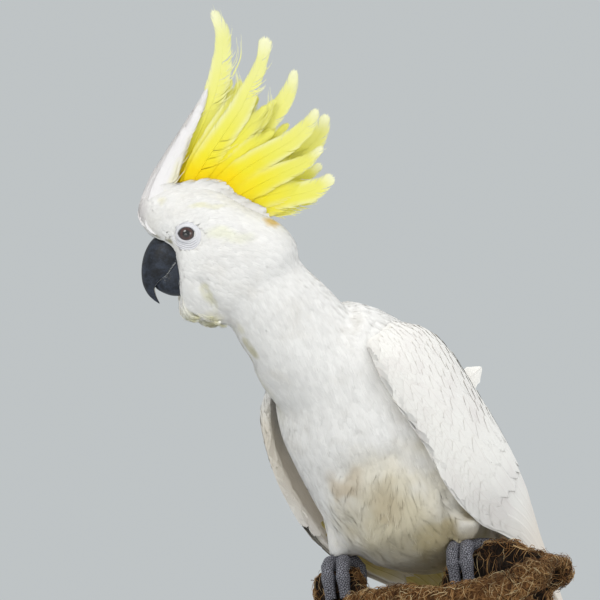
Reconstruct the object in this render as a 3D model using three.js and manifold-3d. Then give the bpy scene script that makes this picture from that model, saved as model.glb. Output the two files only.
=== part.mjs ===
// A sulphur-crested cockatoo, life size, as a still display model. It grips the broken wall of a
// hollow, fibrous palm stem, which two rods hold above an oval base.
// Millimetres, +Z up. The head faces -X, and the origin is the middle of the base's underside.
import * as THREE from "three";
import { mergeVertices } from "three/addons/utils/BufferGeometryUtils.js";
import Module from "manifold-3d";

const wasm = await Module();
wasm.setup();

// ---- Driving dimensions ----

const gap = 0.3; // between neighbouring pieces
const trunkMiddle = new THREE.Vector3(-13, -13, 250);
const trunkLean = new THREE.Vector3(-0.47, -0.2, 0.86); // from tail to neck
const trunkLeft = new THREE.Vector3(0.7, -0.678, 0.225); // to the bird's own left
const headPlaneY = -58; // the head's middle plane
const bodyRingPoints = 22;
const bodySteps = 24;
const headRingPoints = 20;

const neckTwist = { from: 0.55, to: 0.95 }; // shares of the body's length

// Places along the trunk count from its middle.
const wing = {
  top: 68,
  tip: -205,
  steps: 16,
  columns: 8,
  clearance: 0.6,
  liftFrom: -70,
  liftLength: 140,
  frontShare: 0.55,
  edgeRound: 7,
  leastRound: 0.12,
  leastThick: 0.9,
};
const tail = {
  root: -92,
  tip: -268,
  cornerRise: 26,
  rootHalfWidth: 22,
  halfWidth: 45,
  widestAt: 0.85,
  rootThick: 9,
  tipThick: 2,
  steps: 12,
  columns: 8,
};
const crest = { steps: 12, columns: 2, rootThick: 1.7, tipThick: 0.9, tipHalf: 0.8 };
const bill = { ringPoints: 12, culmenNarrowing: 0.25 };
const eye = { radius: 6.3, x: -137.2, z: 379.1, out: 17.6 };
const toe = { radius: 4.3, tipShare: 0.8, bulge: 0.35, bulges: 3.2 };
const claw = { root: 2.5, tip: 0.4, rows: [[6, -0.6], [11, 0.9], [13.6, 3.4]] };
const ankle = { low: 6.3, high: 4.8, swell: 1.2 };
const shank = { low: 8, swell: 5 };
const loose = { steps: 8, halfWidth: 9, halfThick: 0.6 }; // the raised feather on the back

const perch = {
  middle: new THREE.Vector3(0, -42, 142.6),
  turn: THREE.MathUtils.degToRad(-20),
  tilt: THREE.MathUtils.degToRad(-7.2),
  radius: 20, // from the hollow's middle to the middle of its wall
  wall: 12,
  places: [-64, -58, -36, -31, -26, -10, 8, 20, 26, 31, 45, 50, 55, 72, 79, 86, 96, 106],
};

const base = { length: 350, depth: 210, height: 16, bevel: 2 };
const rod = { radius: 4, places: [-40, 74] };

// ---- Colours and finishes ----

const finishes = {
  plumage: { color: 0xeae6de, roughness: 0.85 },
  wing: { color: 0xe6e0de, roughness: 0.8 },
  crest: { color: 0xecd93a, roughness: 0.75 },
  crestWhite: { color: 0xf0eddf, roughness: 0.8 },
  horn: { color: 0x2f353d, roughness: 0.45 },
  eye: { color: 0x3a1a14, roughness: 0.1 },
  foot: { color: 0x6b6b73, roughness: 0.7 },
  fibre: { color: 0x6e4526, roughness: 0.95 },
  stand: { color: 0x7a5a3c, roughness: 0.5 },
  metal: { color: 0xb9b7b0, roughness: 0.35, metalness: 1 },
};

// ---- Frames and small helpers ----

const forward = trunkLean.clone().normalize();
const left = trunkLeft.clone().addScaledVector(forward, -trunkLeft.dot(forward)).normalize();
const dorsal = forward.clone().cross(left);
const headLeft = new THREE.Vector3(0, -1, 0);

const vec = (x, y, z) => new THREE.Vector3(x, y, z);
const { lerp, clamp, smoothstep } = THREE.MathUtils;
const perchFrame = new THREE.Matrix4()
  .makeRotationFromEuler(new THREE.Euler(0, perch.tilt, perch.turn, "ZYX"))
  .setPosition(perch.middle);
const onPerch = (along, back, up) => vec(along, back, up).applyMatrix4(perchFrame);
const perchAxis = onPerch(1, 0, 0).sub(perch.middle);
const bump = (t) => Math.sin(Math.PI * clamp(t, 0, 1));

// A point given along the trunk, towards the back and to the bird's left.
const onTrunk = (along, back = 0, side = 0) =>
  trunkMiddle
    .clone()
    .addScaledVector(forward, along)
    .addScaledVector(dorsal, back)
    .addScaledVector(left, side);

// Reads a value from rows of [place, value, value ...] with eased steps between rows.
function readProfile(rows, place) {
  const last = rows.length - 1;
  const ordered = rows[0][0] < rows[last][0] ? rows : [...rows].reverse();
  const at = clamp(place, ordered[0][0], ordered[last][0]);
  let index = 0;
  while (index < last - 1 && at > ordered[index + 1][0]) index += 1;
  const share = (at - ordered[index][0]) / (ordered[index + 1][0] - ordered[index][0]);
  const before = ordered[Math.max(index - 1, 0)];
  const from = ordered[index];
  const to = ordered[index + 1];
  const after = ordered[Math.min(index + 2, last)];
  return from.slice(1).map((value, k) => {
    const slopeIn = ((to[k + 1] - before[k + 1]) / (to[0] - before[0])) * (to[0] - from[0]);
    const slopeOut = ((after[k + 1] - value) / (after[0] - from[0])) * (to[0] - from[0]);
    const s2 = share * share;
    const s3 = s2 * share;
    return (
      (2 * s3 - 3 * s2 + 1) * value +
      (s3 - 2 * s2 + share) * slopeIn +
      (3 * s2 - 2 * s3) * to[k + 1] +
      (s3 - s2) * slopeOut
    );
  });
}

// ---- Closed shapes ----

// Makes one closed geometry and turns its faces outwards.
function closedShape(points, faces) {
  let volume = 0;
  for (let i = 0; i < faces.length; i += 3) {
    const [a, b, c] = [0, 1, 2].map((k) => points[faces[i + k]]);
    volume += a.dot(b.clone().cross(c));
  }
  if (volume < 0) faces.reverse();
  const shape = new THREE.BufferGeometry();
  shape.setAttribute(
    "position",
    new THREE.Float32BufferAttribute(points.flatMap((p) => [p.x, p.y, p.z]), 3),
  );
  shape.setIndex(faces);
  return shape;
}

// A skin over rings with equal counts of points, closed by a fan at each end.
function loft(rings) {
  const count = rings[0].length;
  const points = rings.flat();
  const faces = [];
  for (let r = 0; r + 1 < rings.length; r += 1) {
    for (let i = 0; i < count; i += 1) {
      const a = r * count + i;
      const b = r * count + ((i + 1) % count);
      faces.push(a, b, b + count, a, b + count, a + count);
    }
  }
  const lastStart = (rings.length - 1) * count;
  for (const [start, turned] of [[0, true], [lastStart, false]]) {
    const middle = points.length;
    const sum = vec(0, 0, 0);
    for (let i = 0; i < count; i += 1) sum.add(points[start + i]);
    points.push(sum.divideScalar(count));
    for (let i = 0; i < count; i += 1) {
      const a = start + i;
      const b = start + ((i + 1) % count);
      if (turned) faces.push(middle, b, a);
      else faces.push(middle, a, b);
    }
  }
  return closedShape(points, faces);
}

// A plate between two grids of points, given as rows of equal length.
function plate(outer, inner) {
  const rows = outer.length;
  const columns = outer[0].length;
  const points = [...outer.flat(), ...inner.flat()];
  const half = rows * columns;
  const faces = [];
  const quad = (a, b, c, d) => faces.push(a, b, c, a, c, d);
  for (let r = 0; r + 1 < rows; r += 1) {
    for (let c = 0; c + 1 < columns; c += 1) {
      const at = r * columns + c;
      quad(at, at + 1, at + columns + 1, at + columns);
      quad(half + at, half + at + columns, half + at + columns + 1, half + at + 1);
    }
  }
  const rim = [];
  for (let c = 0; c < columns; c += 1) rim.push(c);
  for (let r = 1; r < rows; r += 1) rim.push(r * columns + columns - 1);
  for (let c = columns - 2; c >= 0; c -= 1) rim.push((rows - 1) * columns + c);
  for (let r = rows - 2; r > 0; r -= 1) rim.push(r * columns);
  rim.forEach((at, i) => {
    const next = rim[(i + 1) % rim.length];
    quad(next, at, half + at, half + next);
  });
  return closedShape(points, faces);
}

// A round tube along a curve that stays clear of the stem's own direction.
function tube(path, radiusAt, sides, steps) {
  const rings = [];
  for (let s = 0; s <= steps; s += 1) {
    const t = s / steps;
    const centre = path.getPoint(t);
    const along = path.getTangent(t);
    const other = along.clone().cross(perchAxis).normalize();
    const across = other.clone().cross(along).normalize();
    const radius = radiusAt(t);
    rings.push(
      Array.from({ length: sides }, (_, i) => {
        const angle = (2 * Math.PI * (i + 0.5)) / sides;
        return centre
          .clone()
          .addScaledVector(across, radius * Math.cos(angle))
          .addScaledVector(other, radius * Math.sin(angle));
      }),
    );
  }
  return loft(rings);
}

// ---- Joining and cutting ----

function toSolid(shape) {
  const plain = shape.clone();
  plain.deleteAttribute("normal");
  plain.deleteAttribute("uv");
  const merged = mergeVertices(plain, 1e-4);
  return new wasm.Manifold(
    new wasm.Mesh({
      numProp: 3,
      vertProperties: new Float32Array(merged.attributes.position.array),
      triVerts: new Uint32Array(merged.index.array),
    }),
  );
}

function toShape(solid) {
  const { vertProperties, triVerts } = solid.getMesh();
  const shape = new THREE.BufferGeometry();
  shape.setAttribute("position", new THREE.BufferAttribute(vertProperties, 3));
  shape.setIndex(new THREE.BufferAttribute(triVerts, 1));
  return shape;
}

// The largest piece of a solid, so that a cut leaves no loose crumb.
function mainPiece(solid) {
  const parts = solid.decompose();
  return parts.reduce((best, part) => (part.volume() > best.volume() ? part : best));
}

const cut = (shape, ...tools) =>
  toShape(mainPiece(tools.reduce((solid, tool) => solid.subtract(toSolid(tool)), toSolid(shape))));

// A block that fills one side of a plane.
function sideOf(point, normal) {
  const size = 700;
  const block = new THREE.BoxGeometry(size, size, size);
  const turn = new THREE.Quaternion().setFromUnitVectors(vec(0, 0, 1), normal.clone().normalize());
  const middle = point.clone().addScaledVector(normal.clone().normalize(), size / 2 + gap / 2);
  block.applyMatrix4(new THREE.Matrix4().compose(middle, turn, vec(1, 1, 1)));
  return block;
}

// ---- Body: trunk and neck as one tube, head as another ----

// Rows run from under the tail to inside the head: centre, half width, half depth.
const bodyRows = [
  [onTrunk(-124, 24), 14, 5],
  [onTrunk(-106, 22), 20, 11],
  [onTrunk(-89, 18), 29, 21],
  [onTrunk(-71, 8), 41, 38],
  [onTrunk(-42), 59, 56],
  [onTrunk(0), 60, 57],
  [onTrunk(35, -2), 57, 55],
  [onTrunk(58, -9.5), 50, 46.5],
  [vec(-60.5, -40, 306), 40.5, 37],
  [vec(-67.5, -46, 316), 35, 34.8],
  [vec(-75.6, -51, 326.5), 31, 33.5],
  [vec(-83, -55, 336), 29, 31],
  [vec(-98, headPlaneY, 354), 26, 29],
];

function bodyShape(grow = 0) {
  const centres = new THREE.CatmullRomCurve3(bodyRows.map((row) => row[0]));
  const halves = new THREE.CatmullRomCurve3(bodyRows.map((row) => vec(row[1], row[2], 0)));
  const rings = [];
  for (let s = 0; s <= bodySteps; s += 1) {
    const t = s / bodySteps;
    const along = centres.getTangent(t);
    const half = halves.getPoint(t);
    const side = left.clone().lerp(headLeft, smoothstep(t, neckTwist.from, neckTwist.to));
    side.addScaledVector(along, -side.dot(along)).normalize();
    const back = along.clone().cross(side);
    const centre = centres.getPoint(t);
    rings.push(
      Array.from({ length: bodyRingPoints }, (_, i) => {
        const angle = (2 * Math.PI * i) / bodyRingPoints;
        return centre
          .clone()
          .addScaledVector(side, (half.x + grow) * Math.sin(angle))
          .addScaledVector(back, (half.y + grow) * Math.cos(angle));
      }),
    );
  }
  return loft(rings);
}

// Rows run from forehead to nape: place along X, top, bottom, half width.
const headRows = [
  [-168, 397, 391, 4],
  [-166, 402, 385, 10],
  [-162, 405, 379, 14],
  [-156, 407, 373.5, 17],
  [-150, 409, 370, 19],
  [-144.5, 410, 365, 20.5],
  [-142.4, 410, 350, 21],
  [-141, 410, 336, 22],
  [-137, 410.5, 328, 22.6],
  [-131, 410.5, 324, 24.6],
  [-124, 410, 321.5, 27.5],
  [-115, 407, 321, 29.5],
  [-105, 401, 323, 30.5],
  [-94, 395, 328, 30.5],
  [-84, 390, 336, 29],
  [-76, 385, 346, 25],
  [-70, 378, 355, 18],
  [-66.5, 371, 364, 8],
];

function headShape(grow = 0) {
  const rings = headRows.map(([x, top, bottom, half]) => {
    const middle = (top + bottom) / 2;
    const tall = (top - bottom) / 2 + grow;
    return Array.from({ length: headRingPoints }, (_, i) => {
      const angle = (2 * Math.PI * i) / headRingPoints;
      const across = Math.sign(Math.sin(angle)) * Math.abs(Math.sin(angle)) ** 0.9;
      return vec(x, headPlaneY + (half + grow) * across, middle + tall * Math.cos(angle));
    });
  });
  return loft(rings);
}

// ---- Bill ----

// Rows run from the face to the tip: culmen X and Z, lower edge X and Z, half width.
const upperBillRows = [
  [-153, 380, -139, 364.5, 8],
  [-160.5, 374.5, -142, 362, 10],
  [-163.6, 368, -144.5, 359, 10.4],
  [-165.3, 361, -148, 356, 9.8],
  [-165.7, 354, -152, 353.5, 8.2],
  [-164.6, 347.5, -155, 349, 6],
  [-161.8, 342, -156.3, 343.8, 4],
  [-158.4, 338, -156, 339.6, 2.2],
  [-154.8, 334.8, -154, 335.6, 0.9],
];

function billRing([topX, topZ, lowX, lowZ, half], grow, ridge) {
  const middle = vec((topX + lowX) / 2, headPlaneY, (topZ + lowZ) / 2);
  const up = vec((topX - lowX) / 2, 0, (topZ - lowZ) / 2);
  const reach = up.length() + grow;
  up.normalize();
  return Array.from({ length: bill.ringPoints }, (_, i) => {
    const angle = (2 * Math.PI * i) / bill.ringPoints;
    const rise = Math.cos(angle);
    const narrow = 1 - ridge * Math.max(rise, 0);
    return middle
      .clone()
      .addScaledVector(up, reach * rise)
      .addScaledVector(headLeft, (half + grow) * Math.sin(angle) * narrow);
  });
}

const upperBillShape = (grow = 0) =>
  loft(upperBillRows.map((row) => billRing(row, grow, bill.culmenNarrowing)));

// Rows run from the throat forwards: cutting edge X and Z, under edge X and Z, half width.
const lowerBillRows = [
  [-136.5, 367, -138, 341, 8.6],
  [-142.5, 364, -144, 339.8, 9.4],
  [-148, 360, -149.5, 340.4, 8.8],
  [-152.4, 356, -154, 343, 7.2],
  [-155.8, 351.5, -156.6, 346, 4.2],
];

const lowerBillShape = (grow = 0) =>
  loft(lowerBillRows.map((row) => billRing(row, grow, 0)));

// ---- Eyes ----

function eyeShape(side, grow = 0) {
  const ball = new THREE.SphereGeometry(eye.radius + grow, 12, 8);
  const y = headPlaneY - side * eye.out;
  return ball.translate(eye.x, y, eye.z);
}

// ---- Wings ----

// Rows give the surface that a folded wing lies on: place along the trunk, half width,
// half depth, shift to the back.
const wingBedRows = [
  [70, 44, 43, -6],
  [55, 53, 51, -2],
  [35, 58.5, 56.5, 0],
  [0, 61, 58.5, 0],
  [-44, 61, 58, 0],
  [-71, 59, 54, 4],
  [-94, 55, 46, 8],
  [-118, 50, 36, 13],
  [-149, 46, 24, 18],
  [-180, 38, 11, 22],
  [-206, 31, 5, 23],
];

// Rows give the two edges of a folded wing in degrees from the breast line.
const wingEdgeRows = [
  [70, 74, 112],
  [58, 62, 128],
  [35, 58, 143],
  [0, 60, 159],
  [-40, 61, 170],
  [-62, 63, 175],
  [-73, 67, 175],
  [-84, 76, 175],
  [-100, 86, 174],
  [-120, 92, 171],
  [-150, 94, 165],
  [-180, 96, 152],
  [-206, 100, 124],
];

// Rows give the thickness along the wing's front edge and over the rest.
const wingThickRows = [
  [70, 5, 4],
  [55, 11, 7],
  [35, 10, 8],
  [0, 8, 8],
  [-44, 6, 8.5],
  [-73, 3, 6.5],
  [-100, 2.2, 4.5],
  [-150, 1.6, 2.6],
  [-206, 1, 1.2],
];

function wingShape(side, { lift, slide }) {
  const outer = [];
  const inner = [];
  for (let s = 0; s <= wing.steps; s += 1) {
    const place = lerp(wing.top, wing.tip, s / wing.steps);
    const [halfWide, halfDeep, shift] = readProfile(wingBedRows, place);
    const [front, rear] = readProfile(wingEdgeRows, place);
    const [edgeThick, backThick] = readProfile(wingThickRows, place);
    const outerRow = [];
    const innerRow = [];
    for (let c = 0; c <= wing.columns; c += 1) {
      const q = c / wing.columns;
      const angle = THREE.MathUtils.degToRad(lerp(front, rear, q));
      const frontShare = 1 - smoothstep(q, 0, wing.frontShare);
      const lifted = lift * frontShare * bump((place - wing.liftFrom) / wing.liftLength);
      const raise = lifted + wing.clearance;
      const rounded = Math.sqrt(clamp(Math.min(q, 1 - q) * wing.edgeRound, wing.leastRound, 1));
      const thick = lerp(backThick, edgeThick, frontShare) * rounded;
      const reach = (extra) =>
        onTrunk(
          place + slide,
          shift - (halfDeep + raise + extra) * Math.cos(angle),
          side * (halfWide + raise + extra) * Math.sin(angle),
        );
      outerRow.push(reach(Math.max(thick, wing.leastThick)));
      innerRow.push(reach(0));
    }
    outer.push(outerRow);
    inner.push(innerRow);
  }
  return plate(outer, inner);
}

// ---- Tail ----

function tailShape() {
  const outer = [];
  const inner = [];
  for (let s = 0; s <= tail.steps; s += 1) {
    const t = s / tail.steps;
    const halfWidth = lerp(tail.rootHalfWidth, tail.halfWidth, smoothstep(t, 0, tail.widestAt));
    const thick = lerp(tail.rootThick, tail.tipThick, t);
    const outerRow = [];
    const innerRow = [];
    for (let c = 0; c <= tail.columns; c += 1) {
      const q = (2 * c) / tail.columns - 1;
      const end = tail.tip + tail.cornerRise * Math.abs(q) ** 2.4;
      const place = lerp(tail.root, end, t);
      const roof = lerp(20, 24, t) - 5 * q * q * lerp(1.6, 1, t);
      const half = (thick / 2) * (1 - 0.6 * Math.abs(q));
      outerRow.push(onTrunk(place, roof + half, halfWidth * q));
      innerRow.push(onTrunk(place, roof - half, halfWidth * q));
    }
    outer.push(outerRow);
    inner.push(innerRow);
  }
  return plate(outer, inner);
}

// ---- Crest ----

// Each plume: sideways place, root X and Z, bend X and Z, tip X and Z, half widths at root,
// middle and near the tip.
const plumes = [
  [0, -154, 402, -143, 424, -123.5, 469, 10, 7, 3],
  [2.1, -131, 405, -110, 469.5, -118.7, 521, 12, 7.6, 4.2],
  [-2.1, -124, 406, -98, 462, -86, 504, 13, 8, 3.8],
  [0, -117, 405, -84, 446, -68, 484, 13, 9, 4],
  [2.1, -108, 402, -74, 427, -47.5, 458, 11, 8.6, 6.5],
  [-2.1, -101, 399, -74, 418, -49, 428, 9, 7, 4],
  [0, -94, 395, -68, 405, -43, 414, 8, 8, 4],
  [2.1, -88, 392, -72, 396, -55, 401, 6, 6, 3],
];

function plumeShape([aside, rootX, rootZ, bendX, bendZ, tipX, tipZ, wide, middle, narrow]) {
  const path = new THREE.QuadraticBezierCurve3(
    vec(rootX, 0, rootZ),
    vec(bendX, 0, bendZ),
    vec(tipX, 0, tipZ),
  );
  const halves = [[0, wide], [0.55, middle], [0.88, narrow], [1, crest.tipHalf]];
  const outer = [];
  const inner = [];
  for (let s = 0; s <= crest.steps; s += 1) {
    const t = s / crest.steps;
    const centre = path.getPoint(t);
    const along = path.getTangent(t);
    const across = vec(along.z, 0, -along.x);
    const [half] = readProfile(halves, t);
    const thick = lerp(crest.rootThick, crest.tipThick, t);
    const row = (offset) =>
      Array.from({ length: crest.columns + 1 }, (_, c) => {
        const q = (2 * c) / crest.columns - 1;
        const point = centre.clone().addScaledVector(across, half * q);
        point.y = headPlaneY + aside + offset * (1 - 0.35 * q * q);
        return point;
      });
    outer.push(row(-thick / 2));
    inner.push(row(thick / 2));
  }
  return plate(outer, inner);
}

// ---- Perch ----

// Rows give the broken top of the wall: place along the stem, back wall, front wall.
const perchTopRows = [
  [-64, 25, 1],
  [-56, 27, 1],
  [-36, 27, 3],
  [-27, 9, 10],
  [-10, 7, 12],
  [12, 7, 11],
  [22, 9, 10],
  [30, 27, 8],
  [46, 27, 9],
  [54, 34, 10],
  [72, 33, 11],
  [84, 24, 14],
  [94, 20, 18],
  [106, 16, 16],
];

function perchShape(grow = 0) {
  const wallColumns = 2;
  const roundColumns = 7;
  const outer = [];
  const inner = [];
  for (const place of perch.places) {
    const [backTop, frontTop] = readProfile(perchTopRows, place);
    const outerRow = [];
    const innerRow = [];
    const pair = (back, up, outX, outZ, half) => {
      outerRow.push(onPerch(place, back + outX * half, up + outZ * half));
      innerRow.push(onPerch(place, back - outX * half, up - outZ * half));
    };
    const half = perch.wall / 2 + grow;
    for (let c = 0; c < wallColumns; c += 1) {
      const up = lerp(backTop + grow, 0, c / wallColumns);
      pair(perch.radius, up, 1, 0, c === 0 ? half * 0.6 : half);
    }
    for (let c = 0; c <= roundColumns; c += 1) {
      const angle = (-Math.PI * c) / roundColumns;
      const [cos, sin] = [Math.cos(angle), Math.sin(angle)];
      pair(perch.radius * cos, perch.radius * sin, cos, sin, half);
    }
    for (let c = 1; c <= wallColumns; c += 1) {
      const up = lerp(0, frontTop + grow, c / wallColumns);
      pair(-perch.radius, up, -1, 0, c === wallColumns ? half * 0.6 : half);
    }
    outer.push(outerRow);
    inner.push(innerRow);
  }
  return plate(outer, inner);
}

// ---- Legs and feet ----

const feet = {
  left: { along: 36.5, thigh: onTrunk(-60, -14, 45), toes: [34, 43], hindSpread: [-8, 21] },
  right: { along: -46, thigh: onTrunk(-28, -32, -27), toes: [-51, -41], hindSpread: [-10, 9] },
};

function footShape({ along }, grow = 0) {
  const path = new THREE.CatmullRomCurve3([
    onPerch(along, 21, 28.5 - grow),
    onPerch(along, 20.5, 33),
    onPerch(along + 0.5, 20, 40 + grow),
  ]);
  return tube(path, (t) => lerp(ankle.low, ankle.high, t) + ankle.swell * bump(t) + grow, 8, 5);
}

function legShape({ along, thigh }, grow = 0) {
  const start = onPerch(along + 0.5, 20.2, 35.5);
  const middle = start.clone().lerp(thigh, 0.45).add(vec(0, -1, 2));
  const path = new THREE.CatmullRomCurve3([start, middle, thigh]);
  return tube(path, (t) => shank.low + shank.swell * smoothstep(t, 0, 0.8) + grow, 12, 6);
}

function toeRadiusAt(t) {
  const swollen = toe.radius + toe.bulge * Math.cos(2 * Math.PI * (t * toe.bulges - 0.1));
  return swollen * lerp(1, toe.tipShare, smoothstep(t, 0.6, 1));
}

function frontToePath({ along }, at) {
  return new THREE.CatmullRomCurve3([
    onPerch(lerp(along, at, 0.55), 20, 32.6),
    onPerch(at, 13.5, 33),
    onPerch(at, 9.2, 27.5),
    onPerch(at, 8.9, 19),
    onPerch(at, 9.4, 10),
  ]);
}

function hindToePath({ along }, spread) {
  const wide = along + spread;
  return new THREE.CatmullRomCurve3([
    onPerch(lerp(along, wide, 0.3), 21.5, 32.6),
    onPerch(lerp(along, wide, 0.7), 26.5, 33),
    onPerch(wide, 31, 27),
    onPerch(wide, 31.2, 17),
  ]);
}

// A claw goes on from a toe's end and hooks towards the wall.
function clawPath(toePath, lean) {
  const end = toePath.getPoint(0.97);
  const along = toePath.getTangent(1);
  const hook = onPerch(0, lean, 0).sub(onPerch(0, 0, 0)).normalize();
  const points = claw.rows.map(([onwards, inwards]) =>
    end.clone().addScaledVector(along, onwards).addScaledVector(hook, inwards),
  );
  return new THREE.CatmullRomCurve3([end, ...points]);
}

const toeShape = (path, grow = 0) => tube(path, (t) => toeRadiusAt(t) + grow, 8, 8);
const clawShape = (path) => tube(path, (t) => lerp(claw.root, claw.tip, t ** 1.2), 6, 4);

// ---- Display stand ----

function baseShape() {
  const outline = new THREE.Shape();
  outline.absellipse(0, 0, base.length / 2 - base.bevel, base.depth / 2 - base.bevel, 0, 2 * Math.PI);
  const slab = new THREE.ExtrudeGeometry(outline, {
    depth: base.height - 2 * base.bevel,
    bevelSize: base.bevel,
    bevelThickness: base.bevel,
    bevelSegments: 1,
    curveSegments: 22,
  });
  return slab.translate(0, 0, base.bevel);
}

function rodShape(place) {
  const foot = onPerch(place, 0, -perch.radius);
  const height = foot.z - base.height - gap;
  const bar = new THREE.CylinderGeometry(rod.radius, rod.radius, height, 16);
  bar.rotateX(Math.PI / 2);
  return bar.translate(foot.x, foot.y, base.height + gap + height / 2);
}

// ---- The raised feather on the back ----

function backFeatherShape() {
  const outer = [];
  const inner = [];
  for (let s = 0; s <= loose.steps; s += 1) {
    const t = s / loose.steps;
    const half = loose.halfWidth * Math.sqrt(bump(lerp(0.12, 0.97, t)));
    const row = (offset) =>
      [-1, 0, 1].map((q) =>
        onTrunk(lerp(20, -7, t) + offset * 0.2, lerp(46, 60, t) + offset, 36 + 4 * t + half * q),
      );
    outer.push(row(loose.halfThick));
    inner.push(row(-loose.halfThick));
  }
  return plate(outer, inner);
}

// ---- Assembly ----

const cockatoo = new THREE.Group();

function place(name, shape, finishName) {
  const mesh = new THREE.Mesh(shape, new THREE.MeshStandardMaterial(finishes[finishName]));
  mesh.name = name;
  cockatoo.add(mesh);
}

const sides = [["left", 1], ["right", -1]];
const flesh = toSolid(bodyShape()).add(toSolid(headShape()));
const fleshGrown = toShape(toSolid(bodyShape(gap)).add(toSolid(headShape(gap))));
const eyeSockets = sides.map(([, side]) => eyeShape(side, gap));

const headCut = { point: vec(-83.5, -54, 338.5), normal: vec(-0.63, -0.2, 0.75) };
const neckCut = { point: onTrunk(70, -8), normal: forward };
const backwards = (normal) => normal.clone().negate();

const keep = (...blocks) =>
  toShape(mainPiece(blocks.reduce((solid, block) => solid.intersect(toSolid(block)), flesh)));
const aboveHeadCut = sideOf(headCut.point, headCut.normal);
const belowHeadCut = sideOf(headCut.point, backwards(headCut.normal));
const aboveNeckCut = sideOf(neckCut.point, neckCut.normal);
const belowNeckCut = sideOf(neckCut.point, backwards(neckCut.normal));

const billPockets = [upperBillShape(gap), lowerBillShape(gap)];
place("head", cut(keep(aboveHeadCut), ...eyeSockets, ...billPockets), "plumage");
place("neck", keep(belowHeadCut, aboveNeckCut), "plumage");
const toePaths = (foot) => [
  ...foot.toes.map((at) => [frontToePath(foot, at), 1]),
  ...foot.hindSpread.map((spread) => [hindToePath(foot, spread), -1]),
];
const footPockets = Object.values(feet).flatMap((foot) => [
  footShape(foot, gap),
  ...toePaths(foot).map(([path]) => toeShape(path, gap)),
]);
place("trunk", cut(keep(belowNeckCut), ...footPockets), "plumage");
place("bill_upper", upperBillShape(), "horn");
place("bill_lower", cut(lowerBillShape(), upperBillShape(gap)), "horn");
sides.forEach(([name, side]) => place(`eye_${name}`, eyeShape(side), "eye"));

const wingShapes = {
  left: wingShape(1, { lift: 5, slide: 0 }),
  right: wingShape(-1, { lift: 9, slide: -7 }),
};
place("tail", cut(tailShape(), fleshGrown), "wing");
for (const [name] of sides) {
  const shape = cut(wingShapes[name], fleshGrown, legShape(feet[name], gap));
  place(`wing_${name}`, shape, "wing");
}
place("back_feather", cut(backFeatherShape(), fleshGrown, wingShapes.left), "wing");

plumes.forEach((row, i) => {
  const finish = i === 0 ? "crestWhite" : "crest";
  place(`crest_${i + 1}`, cut(plumeShape(row), fleshGrown), finish);
});

for (const [name] of sides) {
  const foot = feet[name];
  const perchCut = perchShape(gap);
  const paths = toePaths(foot);
  const toeCuts = paths.map(([path]) => toeShape(path, gap));
  const leg = cut(legShape(foot), fleshGrown, footShape(foot, gap), perchCut, ...toeCuts);
  place(`leg_${name}`, leg, "plumage");
  place(`foot_${name}`, cut(footShape(foot), perchCut), "foot");
  paths.forEach(([path, lean], i) => {
    const digit = cut(toeShape(path), footShape(foot, gap), perchCut, ...toeCuts.slice(0, i));
    const nail = cut(clawShape(clawPath(path, lean)), toeCuts[i], perchCut);
    place(`toe_${name}_${i + 1}`, digit, "foot");
    place(`claw_${name}_${i + 1}`, nail, "horn");
  });
}

place("perch", perchShape(), "fibre");
place("stand_base", baseShape(), "stand");
rod.places.forEach((at, i) => {
  place(`stand_rod_${i + 1}`, cut(rodShape(at), perchShape(gap)), "metal");
});

export default cockatoo;
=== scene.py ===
import math
import time
from functools import partial
import bpy
import bmesh
import numpy as np
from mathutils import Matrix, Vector, kdtree, noise
from mathutils.bvhtree import BVHTree


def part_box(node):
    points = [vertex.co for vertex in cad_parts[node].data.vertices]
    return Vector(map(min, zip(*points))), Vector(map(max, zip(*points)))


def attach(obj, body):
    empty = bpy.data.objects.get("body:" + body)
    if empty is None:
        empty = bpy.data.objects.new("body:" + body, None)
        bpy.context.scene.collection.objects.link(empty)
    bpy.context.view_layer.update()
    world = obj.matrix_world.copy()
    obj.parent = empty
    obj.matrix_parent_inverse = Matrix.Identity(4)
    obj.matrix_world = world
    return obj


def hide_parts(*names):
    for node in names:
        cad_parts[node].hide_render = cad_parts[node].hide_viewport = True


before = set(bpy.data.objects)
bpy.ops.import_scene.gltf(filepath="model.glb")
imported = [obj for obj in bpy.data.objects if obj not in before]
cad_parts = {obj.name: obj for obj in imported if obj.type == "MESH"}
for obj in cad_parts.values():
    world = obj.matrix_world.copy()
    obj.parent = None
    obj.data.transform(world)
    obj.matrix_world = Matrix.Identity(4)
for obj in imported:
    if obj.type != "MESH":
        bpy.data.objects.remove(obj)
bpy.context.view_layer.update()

# A sulphur-crested cockatoo, life size. Shapes are worked out in millimetres, in the frame's own axes,
# and become metres when a mesh is made. The head faces -X and the camera looks along +Y.

mm = 0.001
sides = ("left", "right")
seeded = np.random.default_rng
startTime = time.time()


def report(stage):
    print(f"{time.time() - startTime:6.1f} s  {stage}")


def vec(*values):
    return np.array(values, float)


def unit(v):
    return v / np.maximum(np.linalg.norm(v, axis=-1, keepdims=True), 1e-9)


def dot(a, b):
    return np.sum(a * b, axis=-1, keepdims=True)


def ease(x, low, high):
    t = np.clip((x - low) / (high - low), 0, 1)
    return t * t * (3 - 2 * t)


def nodeBox(name):
    low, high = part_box(name)
    return np.array(low) / mm, np.array(high) / mm


def boxMiddle(name):
    low, high = nodeBox(name)
    return (low + high) / 2


# The trunk's own axes point to the neck, to the bird's left wing and out of its back.
trunkMiddle = vec(-13, -13, 250)
forward = unit(vec(-0.47, -0.2, 0.86))
leftward = vec(0.7, -0.678, 0.225)
leftward = unit(leftward - forward * np.dot(leftward, forward))
backward = np.cross(forward, leftward)
headPlane = boxMiddle("bill_upper")[1]
eyeMiddle = boxMiddle("eye_left")
eyeRadius = (nodeBox("eye_left")[1] - nodeBox("eye_left")[0])[0] / 2


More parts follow.
